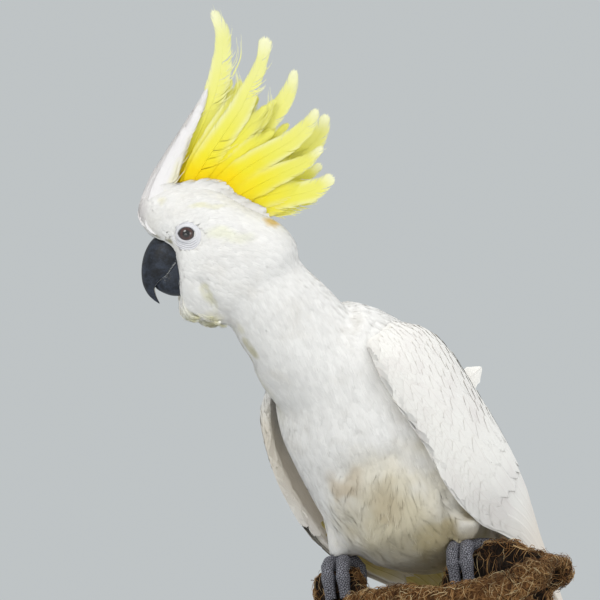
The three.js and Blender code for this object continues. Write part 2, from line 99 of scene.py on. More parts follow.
def onTrunk(*place):
    along, back, side = (np.asarray(value, float)[..., None] for value in (*place, 0, 0)[:3])
    return trunkMiddle + forward * along + backward * back + leftward * side


def fromTrunk(points):
    offset = points - trunkMiddle
    return offset @ forward, offset @ backward, offset @ leftward


# A colour as it looks on a screen, 0 to 255, in the shader's own linear measure.
def paint(*levels):
    shares = (level / 255 for level in levels)
    return tuple(s / 12.92 if s < 0.04045 else ((s + 0.055) / 1.055) ** 2.4 for s in shares)


class Link:
    # A node's output that takes part in sums as a number does.
    def __init__(self, shader, socket):
        self.shader, self.socket = shader, socket

    def sum(self, operation, *values):
        return self.shader.add("ShaderNodeMath", {"operation": operation}, dict(enumerate(values)))

    def __add__(self, other):
        return self.sum("ADD", self, other)

    def __sub__(self, other):
        return self.sum("SUBTRACT", self, other)

    def __rsub__(self, other):
        return self.sum("SUBTRACT", other, self)

    def __mul__(self, other):
        return self.sum("MULTIPLY", self, other)

    def __truediv__(self, other):
        return self.sum("DIVIDE", self, other)

    def __abs__(self):
        return self.sum("ABSOLUTE", self)

    def sine(self):
        return self.sum("SINE", self)

    def ease(self, low, high):
        settings = {"interpolation_type": "SMOOTHSTEP"}
        return self.shader.add("ShaderNodeMapRange", settings, {0: self, 1: low, 2: high, 3: 0, 4: 1})

    __radd__ = __add__
    __rmul__ = __mul__


class Nodes:
    # A node tree, and the one call that adds a node of any kind to it.
    def __init__(self, tree):
        self.tree = tree

    def add(self, kind, settings, sockets, output=0):
        node = self.tree.nodes.new(kind)
        for key, value in settings.items():
            if key == "stops":
                for at, colour in value[:-2]:
                    node.color_ramp.elements.new(at)
                for element, (at, colour) in zip(node.color_ramp.elements, value):
                    element.position, element.color = at, (*colour, 1)
            else:
                setattr(node, key, value)
        for key, value in sockets.items():
            if isinstance(value, Link):
                self.tree.links.new(value.socket, node.inputs[key])
            else:
                node.inputs[key].default_value = value
        return Link(self, node.outputs[output]) if node.outputs else None


class Shader(Nodes):
    # A material with one Principled shader. Places are in millimetres.
    def __init__(self, name, roughness, specular=0.25, **fixed):
        self.material = bpy.data.materials.new(name)
        self.material.use_nodes = True
        super().__init__(self.material.node_tree)
        self.base = self.tree.nodes["Principled BSDF"]
        fixed |= {"Roughness": roughness, "Specular IOR Level": specular}
        for socket, value in fixed.items():
            self.base.inputs[socket.replace("_", " ")].default_value = value
        metres = self.add("ShaderNodeTexCoord", {}, {}, "Object")
        self.place = self.vector("SCALE", metres, scale=1 / mm)
        self.colour = (1, 1, 1)

    def vector(self, operation, *values, scale=None, output=0):
        sockets = dict(enumerate(values))
        if scale is not None:
            sockets["Scale"] = scale
        return self.add("ShaderNodeVectorMath", {"operation": operation}, sockets, output)

    def mix(self, a, b, share):
        a, b = (value if isinstance(value, Link) else (*value, 1) for value in (a, b))
        return self.add("ShaderNodeMix", {"data_type": "RGBA"}, {0: share, 6: a, 7: b}, 2)

    # Lays a tint, 0 to 255, over the colour so far.
    def layer(self, tint, share):
        self.colour = self.mix(self.colour, paint(*tint), share)

    def noise(self, place, scale, detail=3, rough=0.55):
        sockets = {"Vector": place, "Scale": scale, "Detail": detail, "Roughness": rough}
        return self.add("ShaderNodeTexNoise", {}, sockets)

    # Noise whose grain is set for each axis, or for all three by one number.
    def grain(self, fineness, detail=3, rough=0.55):
        fineness = fineness if isinstance(fineness, tuple) else (fineness,) * 3
        return self.noise(self.stretch(self.place, fineness), 1.0, detail, rough)

    def stretch(self, place, amounts):
        return self.vector("MULTIPLY", place, amounts)

    def length(self, value):
        return self.vector("LENGTH", value, output="Value")

    def dot(self, a, b):
        return self.vector("DOT_PRODUCT", a, b, output="Value")

    def combine(self, *parts):
        return self.add("ShaderNodeCombineXYZ", {}, dict(enumerate(parts)))

    def uv(self, name):
        return self.add("ShaderNodeUVMap", {"uv_map": name}, {})

    def tone(self):
        return self.add("ShaderNodeAttribute", {"attribute_name": "tone"}, {}, "Fac")

    def ramp(self, value, stops):
        stops = [(at, paint(*tint)) for at, tint in stops]
        return self.add("ShaderNodeValToRGB", {"stops": stops}, {0: value})

    def part(self, value, axis):
        return self.add("ShaderNodeSeparateXYZ", {}, {0: value}, axis)

    # 1 at the middle of an egg-shaped patch and 0 at its rim
    def spot(self, place, middle, radii):
        offset = self.vector("SUBTRACT", place, tuple(middle))
        return (1 - self.length(self.vector("DIVIDE", offset, tuple(radii)))).ease(0, 0.75)

    # 1 along a line between two points and 0 at the given distance from it
    def streak(self, place, start, end, reach):
        run = np.array(end, float) - start
        offset = self.vector("SUBTRACT", place, tuple(start))
        along = self.dot(offset, tuple(run / (run @ run)))
        share = self.add("ShaderNodeClamp", {}, {0: along, 1: 0, 2: 1})
        nearest = self.vector("SCALE", tuple(run), scale=share)
        return (1 - self.length(self.vector("SUBTRACT", offset, nearest)) / reach).ease(0, 0.8)

    def bump(self, height, depth):
        return self.add("ShaderNodeBump", {}, {"Height": height, "Distance": depth * mm, "Strength": 1.0})

    def set(self, **links):
        for socket, value in {"Base_Color": self.colour, **links}.items():
            self.tree.links.new(value.socket, self.base.inputs[socket.replace("_", " ")])
        return self.material


def addObject(name, data):
    thing = bpy.data.objects.new(name, data)
    bpy.context.scene.collection.objects.link(thing)
    return thing


# One piece of the model. Values for its points become its tone and its unwraps, which are named.
def makePiece(name, points, faces, material, slot, replaces=(), smooth=True, tone=None, **unwraps):
    faces = np.asarray(faces)
    mesh = bpy.data.meshes.new(name)
    mesh.vertices.add(len(points))
    mesh.vertices.foreach_set("co", (np.asarray(points) * mm).ravel())
    mesh.loops.add(faces.size)
    mesh.loops.foreach_set("vertex_index", faces.ravel().astype(np.int32))
    mesh.polygons.add(len(faces))
    mesh.polygons.foreach_set("loop_start", np.arange(len(faces), dtype=np.int32) * 3)
    mesh.update(calc_edges=True)
    mesh.validate()
    mesh.polygons.foreach_set("use_smooth", np.full(len(mesh.polygons), smooth))
    mesh.materials.append(material)
    piece = addObject(name, mesh)
    if slot:
        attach(piece, "root")
        report(f"{name}: {len(faces)} triangles")
    if replaces:
        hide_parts(*replaces)
    corners = np.empty(len(mesh.loops), np.int32)
    mesh.loops.foreach_get("vertex_index", corners)
    for unwrap, places in unwraps.items():
        layer = mesh.uv_layers.new(name=unwrap)
        layer.uv.foreach_set("vector", np.asarray(places, np.float32)[corners].ravel())
    if tone is not None:
        layer = mesh.attributes.new("tone", "FLOAT", "POINT")
        layer.data.foreach_set("value", np.asarray(tone, np.float32))
    return piece


# Joins shapes, each its points, its faces and any values of its points.
def joinParts(parts):
    joined, start = [], 0
    for points, faces, *rest in parts:
        joined.append((points, faces + start, *rest))
        start += len(points)
    return [np.concatenate(column) for column in zip(*joined)]


# The faces of equal shapes whose points follow each other.
def repeatFaces(faces, size, count):
    return (faces + size * np.arange(count)[:, None, None]).reshape(-1, 3)


# Triangles between the points of a grid, which closes into a tube when it runs around.
def gridFaces(rows, columns, around=False):
    starts = np.arange(columns if around else columns - 1)
    below = np.arange(rows - 1)[:, None] * columns
    a, b = (below + starts).ravel(), (below + (starts + 1) % columns).ravel()
    halves = [a, b, b + columns], [a, b + columns, a + columns]
    return np.concatenate([np.stack(half, axis=1) for half in halves])


# Points round a circle of radius 1.
def circle(count):
    turns = np.linspace(0, 2 * np.pi, count, endpoint=False)
    return np.stack([np.cos(turns), np.sin(turns)], axis=1)


def meshArrays(mesh):
    points = np.empty(len(mesh.vertices) * 3)
    mesh.vertices.foreach_get("co", points)
    mesh.calc_loop_triangles()
    faces = np.empty(len(mesh.loop_triangles) * 3, np.int32)
    mesh.loop_triangles.foreach_get("vertices", faces)
    return points.reshape(-1, 3) / mm, faces.reshape(-1, 3)


# Joins shapes into one closed surface of even small faces.
def remesh(shapes, voxel, smoothing):
    work = makePiece("work", *joinParts(shapes), bpy.data.materials[0], None)
    whole = bmesh.new()
    whole.from_mesh(work.data)
    bmesh.ops.remove_doubles(whole, verts=whole.verts, dist=1e-6)
    whole.to_mesh(work.data)
    whole.free()
    joined = work.modifiers.new("joined", "REMESH")
    joined.mode, joined.voxel_size = "VOXEL", voxel * mm
    soft = work.modifiers.new("soft", "SMOOTH")
    soft.factor, soft.iterations = 0.5, smoothing
    evaluated = work.evaluated_get(bpy.context.evaluated_depsgraph_get())
    result = meshArrays(evaluated.to_mesh())
    bpy.data.meshes.remove(work.data)
    return result


def nodeShape(name):
    return meshArrays(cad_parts[name].data)


def ball(middle, radii, rings=12, sides=18):
    turns = np.linspace(0, np.pi, rings + 1)[1:-1]
    around = np.linspace(0, 2 * np.pi, sides, endpoint=False)
    points = [vec(0, 0, 1), vec(0, 0, -1)]
    for t in turns:
        points += [vec(math.sin(t) * math.cos(a), math.sin(t) * math.sin(a), math.cos(t)) for a in around]
    faces = []
    for r in range(rings - 1):
        for k in range(sides):
            a, b = 2 + r * sides + k, 2 + r * sides + (k + 1) % sides
            if r == 0:
                faces.append((0, a, b))
            if r < rings - 2:
                faces += [(a, a + sides, b + sides), (a, b + sides, b)]
            else:
                faces.append((1, b, a))
    return np.array(points) * radii + middle, np.array(faces)


# A search tree of places.
def placeTree(places):
    tree = kdtree.KDTree(len(places))
    for k, place in enumerate(places.tolist()):
        tree.insert(place, k)
    tree.balance()
    return tree


class Surface:
    # A triangle mesh that answers where its nearest point lies and which way it faces there.
    def __init__(self, points, faces):
        self.points, self.faces = points, faces
        self.tree = BVHTree.FromPolygons(points.tolist(), faces.tolist())
        a, b, c = self.corners(points, slice(None))
        self.middles = points[faces].mean(axis=1)
        self.crosses = np.cross(b - a, c - a)
        self.areas = np.linalg.norm(self.crosses, axis=1) / 2
        normals = np.zeros_like(points)
        for k in range(3):
            np.add.at(normals, faces[:, k], self.crosses)
        self.normals = unit(normals)

    # The given values at the three corners of faces.
    def corners(self, values, indices):
        return (values[self.faces[indices, k]] for k in range(3))

    def normalsAt(self, places, indices):
        a, b, c = self.corners(self.points, indices)
        ab, ac, ap = b - a, c - a, places - a
        d00, d01, d11 = dot(ab, ab), dot(ab, ac), dot(ac, ac)
        d20, d21 = dot(ap, ab), dot(ap, ac)
        scale = np.maximum(d00 * d11 - d01 * d01, 1e-12)
        v = (d11 * d20 - d01 * d21) / scale
        w = (d00 * d21 - d01 * d20) / scale
        na, nb, nc = self.corners(self.normals, indices)
        return unit(na * (1 - v - w) + nb * v + nc * w)

    # The numbers of the places inside the surface's box and a gap round it.
    def nearBox(self, places, gap):
        low, high = self.points.min(axis=0) - gap, self.points.max(axis=0) + gap
        return np.flatnonzero(((places > low) & (places < high)).all(axis=1))

    def nearest(self, places):
        found = [self.tree.find_nearest(p) for p in places.reshape(-1, 3).tolist()]
        spots = np.array([hit[0][:] for hit in found])
        indices = np.array([hit[2] for hit in found])
        return spots.reshape(places.shape), self.normalsAt(spots, indices).reshape(places.shape)

    # Random points whose neighbours are no nearer than the spacing given at each.
    def scatter(self, spacingAt, allowed, seed, crowding=5.0):
        random = seeded(seed)
        spacing = spacingAt(self.middles)
        wanted = np.where(allowed(self.middles), self.areas / spacing**2, 0)
        count = int(wanted.sum() * crowding)
        picked = random.choice(len(wanted), count, p=wanted / wanted.sum())
        shares = random.random((count, 2))
        over = shares.sum(axis=1) > 1
        shares[over] = 1 - shares[over]
        a, b, c = self.corners(self.points, picked)
        places = a + (b - a) * shares[:, :1] + (c - a) * shares[:, 1:]
        tree = placeTree(places)
        free = np.ones(count, bool)
        kept = []
        for i, (p, reach) in enumerate(zip(places.tolist(), spacing[picked])):
            if free[i]:
                kept.append(i)
                for _, j, _ in tree.find_range(p, reach):
                    free[j] = False
        return places[kept], self.normalsAt(places[kept], picked[kept])


view = {"distance": 6500, "width": 381, "middle": vec(-65.4, -45, 337.2), "sensor": 36}
studio = {"floor": 4700, "floorSides": 96, "backdrop": (0.52, 0.55, 0.56), "ambient": 0.74}
lamps = [
    # name, place, size, strength, colour
    ("keyLight", vec(-650, -1250, 1250), 800, 7.4, (1.0, 0.985, 0.965)),
    ("skyLight", vec(250, 350, 1700), 1200, 6.8, (0.97, 0.985, 1.0)),
    ("fillLight", vec(1200, -1000, 500), 900, 4.4, (0.99, 0.99, 1.0)),
    ("lowLight", vec(-300, -1500, 60), 900, 2.8, (1.0, 0.99, 0.96)),
]


def makeCamera():
    data = bpy.data.cameras.new("camera")
    data.sensor_width = view["sensor"]
    data.lens = view["sensor"] * view["distance"] / view["width"]
    data.clip_end = 60
    camera = addObject("camera", data)
    camera.location = (view["middle"] - vec(0, view["distance"], 0)) * mm
    camera.rotation_euler = (math.pi / 2, 0, 0)
    bpy.context.scene.camera = camera


def makeLights():
    for name, place, size, strength, colour in lamps:
        data = bpy.data.lights.new(name, "AREA")
        data.shape, data.size = "DISK", size * mm
        data.energy, data.color = strength, colour
        lamp = addObject(name, data)
        lamp.location = place * mm
        aim = Vector((view["middle"] - place) * mm)
        lamp.rotation_euler = aim.to_track_quat("-Z", "Y").to_euler()
    world = bpy.data.worlds.new("studio")
    bpy.context.scene.world = world
    world.use_nodes = True
    world.node_tree.nodes.clear()
    nodes = Nodes(world.node_tree)
    rays = ("Is Camera Ray", "Is Glossy Ray", "Is Transmission Ray")
    camera, glossy, clear = (nodes.add("ShaderNodeLightPath", {}, {}, ray) for ray in rays)
    seen = camera.sum("MAXIMUM", camera.sum("MAXIMUM", camera, glossy), clear)
    soft = nodes.add("ShaderNodeBackground", {}, {0: (0.95, 0.98, 1.0, 1), 1: studio["ambient"]})
    backdrop = nodes.add("ShaderNodeBackground", {}, {0: (*studio["backdrop"], 1)})
    either = nodes.add("ShaderNodeMixShader", {}, {0: seen, 1: soft, 2: backdrop})
    nodes.add("ShaderNodeOutputWorld", {}, {0: either})


def makeFloor():
    shader = Shader("floorPaint", 0.85, 0.5)
    shader.colour = shader.mix((0.55, 0.57, 0.58), (0.59, 0.61, 0.62), shader.noise(shader.place, 0.01))
    count = studio["floorSides"]
    rim = np.pad(circle(count), ((0, 0), (0, 1))) * studio["floor"]
    faces = [(0, 1 + k, 1 + (k + 1) % count) for k in range(count)]
    makePiece("floor", np.concatenate([[[0, 0, 0]], rim]), faces, shader.set(), None)


bpy.context.scene.view_settings.view_transform = "Standard"
makeCamera()
makeLights()
makeFloor()
report("camera, light and floor")


skinSet = {"voxel": 1.5, "smoothing": 26}
# Balls that fill the throat and the foot of the bill: middle (X, Z), radii.
skinPlugs = [((-133.5, 333.5), (9.2, 13, 9.2)), ((-145, 366), (11, 7, 12)), ((-144, 350), (8, 7, 9))]

# Creases pressed into the outline: both ends (X, Z), how far from the head's middle plane, width, depth.
creases = [
    [(-129.5, 348), (-120.5, 334.5), 24, 3.4, 1.8],
    [(-124, 332), (-112, 326), 20, 4.5, 1.5],
    [(-101, 303.5), (-91, 297), 18, 4.0, 1.6],
]
# Creases of the body, seen from the front: both ends (X, Z), width, depth.
bodyCreases = [
    [(27, 212), (31, 182), 3.2, 3.6],
    [(-33, 196), (-24, 172), 3.4, 3.6],
    [(-42, 226), (-6, 238), 6.0, 2.2],
    [(-6, 238), (20, 226), 6.0, 1.6],
]
fleshNodes = ("head", "neck", "trunk", "leg_left", "leg_right")


def fleshShapes():
    shapes = [nodeShape(name) for name in fleshNodes]
    shapes += [ball(boxMiddle("eye_" + side), eyeRadius - 0.4) for side in sides]
    return shapes + [ball(vec(x, headPlane, z), radii) for (x, z), radii in skinPlugs]


# 1 along a line and less away from it, on each axis as far as it counts.
def nearLine(points, start, end, width, counts):
    run = end - start
    share = np.clip((points - start) @ run / (run @ run), 0, 1)[:, None]
    away = (points - (start + run * share)) * counts
    return np.exp(-((np.linalg.norm(away, axis=1, keepdims=True) / width) ** 2))


def pressCreases(points, normals):
    pressed = points.copy()
    for (x0, z0), (x1, z1), aside, width, depth in creases:
        for plane in (headPlane - aside, headPlane + aside):
            near = nearLine(points, vec(x0, plane, z0), vec(x1, plane, z1), width, (1, 0.35, 1))
            pressed -= normals * near * depth
    for (x0, z0), (x1, z1), width, depth in bodyCreases:
        near = nearLine(points, vec(x0, 0, z0), vec(x1, 0, z1), width, (1, 0, 1))
        pressed -= normals * near * depth * np.clip(-normals[:, 1:2], 0, 1)
    return pressed


report("joining the flesh")
fleshPoints, fleshFaces = remesh(fleshShapes(), skinSet["voxel"], skinSet["smoothing"])
plainFlesh = Surface(fleshPoints, fleshFaces)
outline = Surface(pressCreases(fleshPoints, plainFlesh.normals), fleshFaces)
report(f"outline of the coat: {len(fleshFaces)} triangles")


# How the feathers near a place lie and how big they are: part, place, direction, reach of the row,
# length, half width, spacing, depth of the roots, slope, ruffle in degrees. Rows of the head are
# (X, aside, Z) from its middle plane and count for both sides.
headGuides = [
    ("face", (-152, 6, 378), (-0.45, 0.1, 1), 9, 7, 1.9, 1.5, 1.6, 0.31, 5),
    ("face", (-168, 3, 392), (0.15, 0, 1), 11, 9, 2.2, 1.7, 1.8, 0.31, 4),
    ("face", (-156, 10, 405), (0.8, 0, 0.6), 11, 10, 2.4, 1.8, 2.0, 0.31, 4),
    ("face", (-152, 18, 388), (0.8, 0.1, 0.5), 9, 6, 1.7, 1.15, 1.1, 0.19, 4),
    ("face", (-137, 20, 392), (1, 0, 0.12), 9, 7, 1.8, 1.2, 1.2, 0.19, 4),
    ("face", (-149, 20, 372), (0.75, 0.1, -0.1), 7, 5, 1.5, 1.0, 0.9, 0.17, 4),
    ("face", (-134, 23, 362), (0.95, 0, -0.3), 11, 8, 2.0, 1.5, 1.6, 0.28, 4),
    ("face", (-122, 27, 378), (1, 0, -0.05), 12, 10, 2.3, 1.7, 1.9, 0.28, 4),
    ("crown", (-130, 4, 411), (1, 0, 0.1), 12, 12, 2.8, 2.1, 2.4, 0.37, 4),
    ("crown", (-98, 8, 399), (0.92, 0, -0.4), 13, 13, 3.0, 2.2, 2.6, 0.37, 4),
    ("crown", (-74, 6, 378), (0.72, 0, -0.7), 13, 14, 3.2, 2.3, 2.8, 0.43, 5),
    ("crown", (-100, 28, 372), (0.9, 0, -0.4), 14, 13, 2.9, 2.1, 2.4, 0.31, 4),
    ("cheek", (-112, 29, 350), (0.86, 0, -0.5), 12, 12, 2.6, 1.9, 2.2, 0.37, 6),
    ("cheek", (-134, 20, 342), (0.62, 0, -0.78), 10, 10, 2.3, 1.7, 1.9, 0.34, 6),
    ("cheek", (-140, 4, 331), (0.62, 0, -0.78), 8, 9, 2.2, 1.7, 1.8, 0.37, 8),
    ("cheek", (-118, 6, 323), (0.9, 0, -0.45), 10, 11, 2.6, 1.9, 2.2, 0.43, 7),
]
bodyGuides = [
    ("neck", (-92, -82, 328), (0.45, 0.1, -0.9), 15, 15, 3.3, 2.3, 3.2, 0.37, 4),
    ("neck", (-104, -60, 314), (0.1, 0, -1), 12, 14, 3.2, 2.2, 3.0, 0.43, 6),
    ("neck", (-66, -30, 342), (0.68, 0.2, -0.7), 16, 16, 3.5, 2.5, 3.4, 0.37, 4),
    ("neck", (-88, -24, 322), (0.35, 0.2, -0.92), 15, 15, 3.4, 2.4, 3.2, 0.37, 4),
    ("breast", (-86, -62, 285), (0.12, 0.02, -1), 20, 17, 4.2, 2.6, 4.2, 0.31, 4),
    ("breast", (-50, -78, 290), (0.36, 0, -0.93), 22, 18, 4.4, 2.7, 4.4, 0.31, 4),
    ("breast", (-66, -70, 240), (0.3, 0.05, -0.95), 24, 19, 4.6, 2.8, 4.8, 0.31, 4),
]
trunkGuides = [
    ("breast", (40, -40, 40), (-1, 0, -0.05), 24, 19, 4.6, 2.8, 4.8, 0.5, 5),
    ("belly", (4, -57, 0), (-1, 0, 0), 20, 19, 4.0, 2.5, 3.4, 0.5, 12),
    ("belly", (-30, -50, 25), (-1, 0.1, -0.45), 22, 19, 3.6, 2.3, 3.2, 0.45, 18),
    ("belly", (-30, -50, -25), (-1, 0.1, 0.45), 22, 19, 3.6, 2.3, 3.2, 0.45, 18),
    ("belly", (-60, -32, 0), (-1, 0.4, 0), 22, 20, 3.6, 2.3, 3.2, 0.45, 18),
    ("belly", (-72, -10, 35), (-0.9, 0.3, -0.1), 16, 18, 3.8, 2.5, 3.4, 0.5, 12),
    ("belly", (-72, -10, -35), (-0.9, 0.3, 0.1), 16, 18, 3.8, 2.5, 3.4, 0.5, 12),
    ("belly", (-100, 12, 0), (-1, 0.1, 0), 20, 24, 4.6, 2.8, 5.0, 0.9, 10),
    ("back", (50, 40, 0), (-1, 0.15, 0), 24, 22, 5.2, 3.4, 3.8, 0.35, 4),
    ("back", (0, 58, 0), (-1, 0, 0), 26, 25, 6.0, 4.0, 4.0, 0.45, 4),
    ("back", (-60, 56, 0), (-1, -0.2, 0), 24, 26, 6.0, 4.0, 4.2, 0.5, 4),
    ("back", (-105, 36, 0), (-1, -0.2, 0), 20, 28, 6.5, 4.0, 4.5, 0.8, 6),
]
# Legs: node, offset from its foot, direction.
legGuides = [
    ("leg_left", (2, -4, 8), (0, -0.25, -1), 9, 11, 2.4, 1.8, 2.2, 0.6, 8),
    ("leg_right", (0, -4, 8), (0, -0.35, -1), 9, 11, 2.4, 1.8, 2.2, 0.6, 8),
]


def readGuides():
    rows = []
    for part, (x, aside, z), lie, *sizes in headGuides:
        for side in (-1, 1):
            way = vec(lie[0], side * lie[1], lie[2])
            rows.append((part, vec(x, headPlane + side * aside, z), way, *sizes))
    for part, place, lie, *sizes in bodyGuides:
        rows.append((part, vec(*place), vec(*lie), *sizes))
    for part, place, (along, back, side), *sizes in trunkGuides:
        way = forward * along + backward * back + leftward * side
        rows.append((part, onTrunk(*place), way, *sizes))
    for node, offset, lie, *sizes in legGuides:
        foot = boxMiddle(node)
        foot[2] = nodeBox(node)[0][2]
        rows.append(("leg", foot + offset, vec(*lie), *sizes))
    return rows


guideParts, guidePlaces, guideLies, guideReach, *guideSizes = zip(*readGuides())
guidePlaces, guideLies = np.array(guidePlaces), unit(np.array(guideLies))
guideSizes = np.stack(guideSizes, axis=1)


# The lie, sizes and nearest row at each place, as a blend of the rows near it.
def readCoat(places):
    away = np.linalg.norm(places[:, None] - guidePlaces, axis=2) / guideReach
    weight = 1 / (0.05 + away**2) ** 2.5
    weight /= weight.sum(axis=1, keepdims=True)
    return weight @ guideLies, weight @ guideSizes, weight.argmax(axis=1)


vaneRows = [(0.0, 0.14, 0.0), (0.2, 0.6, 0.01), (0.46, 0.96, 0.03)]  # along, width, sag of the sides
firmRows = [(0.68, 1.0, 0.06), (0.88, 0.9, 0.18)]
vaneBow = -0.18  # how far the sides lie below the shaft
vaneFit = {"dipEnd": 0.36, "flowPull": 0.35, "sideSoft": 0.32, "tipSoft": 0.1, "patterns": 6}


# One feather as a grid that frays into tapering barbs: how far along, how far across, lift, faces.
def vanePattern(barbs, wild, notch, rows, seed):
    random = seeded(seed)
    cuts = np.cumsum(random.uniform(0.6, 1.4, barbs))
    edges = np.concatenate([[0], cuts / cuts[-1]]) * 2 - 1
    along, across, lift, faces = [], [], [], []
    for s, wide, sag in rows:
        along += [s - sag * e * e for e in edges]
        across += list(edges * wide)
        lift += list(vaneBow * edges**2)
    faces += gridFaces(len(rows), barbs + 1).tolist()
    last = (len(rows) - 1) * (barbs + 1)
    for c in range(barbs):
        middle, half = (edges[c] + edges[c + 1]) / 2, (edges[c + 1] - edges[c]) / 2
        at = len(along)
        reach = 1 - notch * middle**2 - random.uniform(0, 0.13 + 0.1 * wild)
        rise = random.uniform(-0.12, 0.12) * wild
        begin = s - sag * middle**2
        reach = max(reach, begin + 0.04)
        for share, narrow in ((0.45, 0.92), (0.78, 0.62)):
            bend = 1 - 0.1 * share * abs(middle)
            across += [(middle - half * narrow) * bend, (middle + half * narrow) * bend]
            along += [begin + (reach - begin) * share] * 2
            lift += [vaneBow * middle**2 + rise * share] * 2
        along.append(reach)
        across.append(middle * 0.84 + random.uniform(-0.05, 0.05))
        lift.append(vaneBow * middle**2 + rise - 0.1)
        faces += [(last + c, last + c + 1, at + 1), (last + c, at + 1, at)]
        faces += [(at, at + 1, at + 3), (at, at + 3, at + 2), (at + 2, at + 3, at + 4)]
    return np.array(along), np.array(across), np.array(lift), np.array(faces)[:, ::-1]


stations = np.array([0, 0.2, 0.46, 0.74, 1.0])  # where a feather is fitted to the surface


# Lays feathers of a few patterns on a surface. Each follows it from its root, and its root end dips
# below it. Coat holds the roots, normals, lies, lengths, widths, depths and slopes.
def layVanes(surface, random, pattern, coat, flow=None, curl=1.0):
    roots, normals, lies, lengths, widths, depths, slopes = coat
    count = len(roots)
    patterns = [pattern(seed) for seed in range(vaneFit["patterns"])]
    picks = random.integers(0, len(patterns), count)
    place, normal = roots, normals
    lie = unit(lies - normal * dot(lies, normal))
    lines, faced = np.zeros((count, 3, len(stations), 3)), np.zeros((count, len(stations), 3))
    for k, at in enumerate(stations):
        if k:
            place = place + lie * (at - stations[k - 1]) * lengths[:, None]
            place, normal = surface.nearest(place)
            if flow is not None:
                lie = unit(lie + vaneFit["flowPull"] * flow(place))
            lie = unit(lie - normal * dot(lie, normal))
        across = np.cross(normal, lie) * widths[:, None]
        (left, right), (leftWay, rightWay) = surface.nearest(np.stack([place - across, place + across]))
        dip = slopes * (1 - at) + (depths - slopes) * max(0, 1 - at / vaneFit["dipEnd"]) ** 2
        ways = np.stack([leftWay, normal, rightWay], axis=1)
        lines[:, :, k] = np.stack([left, place, right], axis=1) - ways * dip[:, None, None]
        faced[:, k] = normal
    parts = []
    for number, (along, across, lift, faces) in enumerate(patterns):
        chosen = np.flatnonzero(picks == number)
        if not len(chosen):
            continue
        k = np.clip(np.searchsorted(stations, along, "right") - 1, 0, len(stations) - 2)
        share = ((along - stations[k]) / (stations[k + 1] - stations[k]))[:, None]
        near, far = lines[chosen][:, :, k], lines[chosen][:, :, k + 1]
        left, middle, right = np.moveaxis(near * (1 - share) + far * share, 1, 0)
        u, size = across[:, None], len(along)
        points = middle + u * (right - left) / 2 + u * u * ((left + right) / 2 - middle)
        facing = unit(faced[chosen][:, k] * (1 - share) + faced[chosen][:, k + 1] * share)
        points += facing * (lift[:, None] * widths[chosen][:, None, None] * 0.5 * curl)
        side, run = unit(right - left), unit(far[:, 1] - near[:, 1])
        soft = facing + vaneFit["sideSoft"] * curl * u * side
        soft = unit(soft + vaneFit["tipSoft"] * curl * (share - 0.3) * run)
        allFaces = repeatFaces(faces, size, len(chosen))
        local = np.tile(np.stack([across / 2 + 0.5, along], axis=1), (len(chosen), 1))
        owners = np.repeat(chosen, size)
        parts.append((points.reshape(-1, 3), allFaces, soft.reshape(-1, 3), owners, local))
    return joinParts(parts)


# The line that the skin is unwrapped along, and the size of one feather's patch on the unwrap.
bodyLine = np.array([(-182, -58, 385), (-110, -58, 362), (-72, -48, 322), onTrunk(60), onTrunk(-135)])
tuftPatch = 0.003


def unwrapBody(points):
    runs = np.diff(bodyLine, axis=0)
    lengths = np.linalg.norm(runs, axis=1)
    charts = []
    for start, run, length, before in zip(bodyLine, runs, lengths, np.cumsum(lengths) - lengths):
        share = np.clip((points - start) @ run / length**2, 0, 1)
        away = points - (start + run * share[:, None])
        side = unit(leftward - run * (leftward @ run) / length**2)
        angle = np.arctan2(away @ side, -(away @ np.cross(run / length, side)))
        charts.append([np.linalg.norm(away, axis=1), angle / (2 * np.pi) + 0.5, before + share * length])
    charts = np.array(charts)
    nearest = charts[:, 0].argmin(axis=0)
    return charts[nearest, 1:, np.arange(len(points))] / (1, lengths.sum())


# Gives every tuft its small patch at its root's place on an unwrap.
def tuftUvs(rootUvs, local):
    return rootUvs * (1 - tuftPatch) + local * tuftPatch


# A piece of laid feathers, which take their shading from the smooth surface under them.
def vanePiece(name, laid, material, slot, rootUvs, tones):
    points, faces, ways, owners, local = laid
    tufts = tuftUvs(rootUvs[owners], local)
    piece = makePiece(name, points, faces, material, slot, tone=tones[owners], vane=local, OFBake=tufts)
    piece.data.normals_split_custom_set_from_vertices(ways)


# Tints of the plumage, some of them painted shade, the same on the skin and on every feather over it.
plumageWhite = (244, 242, 238)
# Places are from the head's middle plane; then reach, colour, strength.
headTints = [
    ((-119, 14, 323), (13, 12, 6), (206, 196, 126), 0.5),
    # Painted shade: the forehead is greyed a little, as if it lay in shade.
    ((-170, 6, 394), (15, 18, 20), (214, 208, 206), 0.75),
    ((-152, 8, 399), (5.5, 10, 5), (226, 214, 116), 0.8),
    ((-84, 12, 386), (9, 14, 5.5), (228, 188, 74), 0.8),
    ((-116, 28, 380), (13, 14, 5), (238, 238, 204), 0.5),
    ((-104, 28, 377), (15, 14, 5), (238, 238, 208), 0.4),
    ((-129, 20, 397), (9, 14, 2.6), (230, 226, 176), 0.5),
    ((-119, 20, 396), (9, 14, 2.6), (232, 228, 184), 0.4),
    ((-108, 12, 316), (6, 14, 9), (208, 198, 128), 0.5),
    ((-144, 10, 329), (9, 10, 5), (214, 206, 150), 0.5),
]
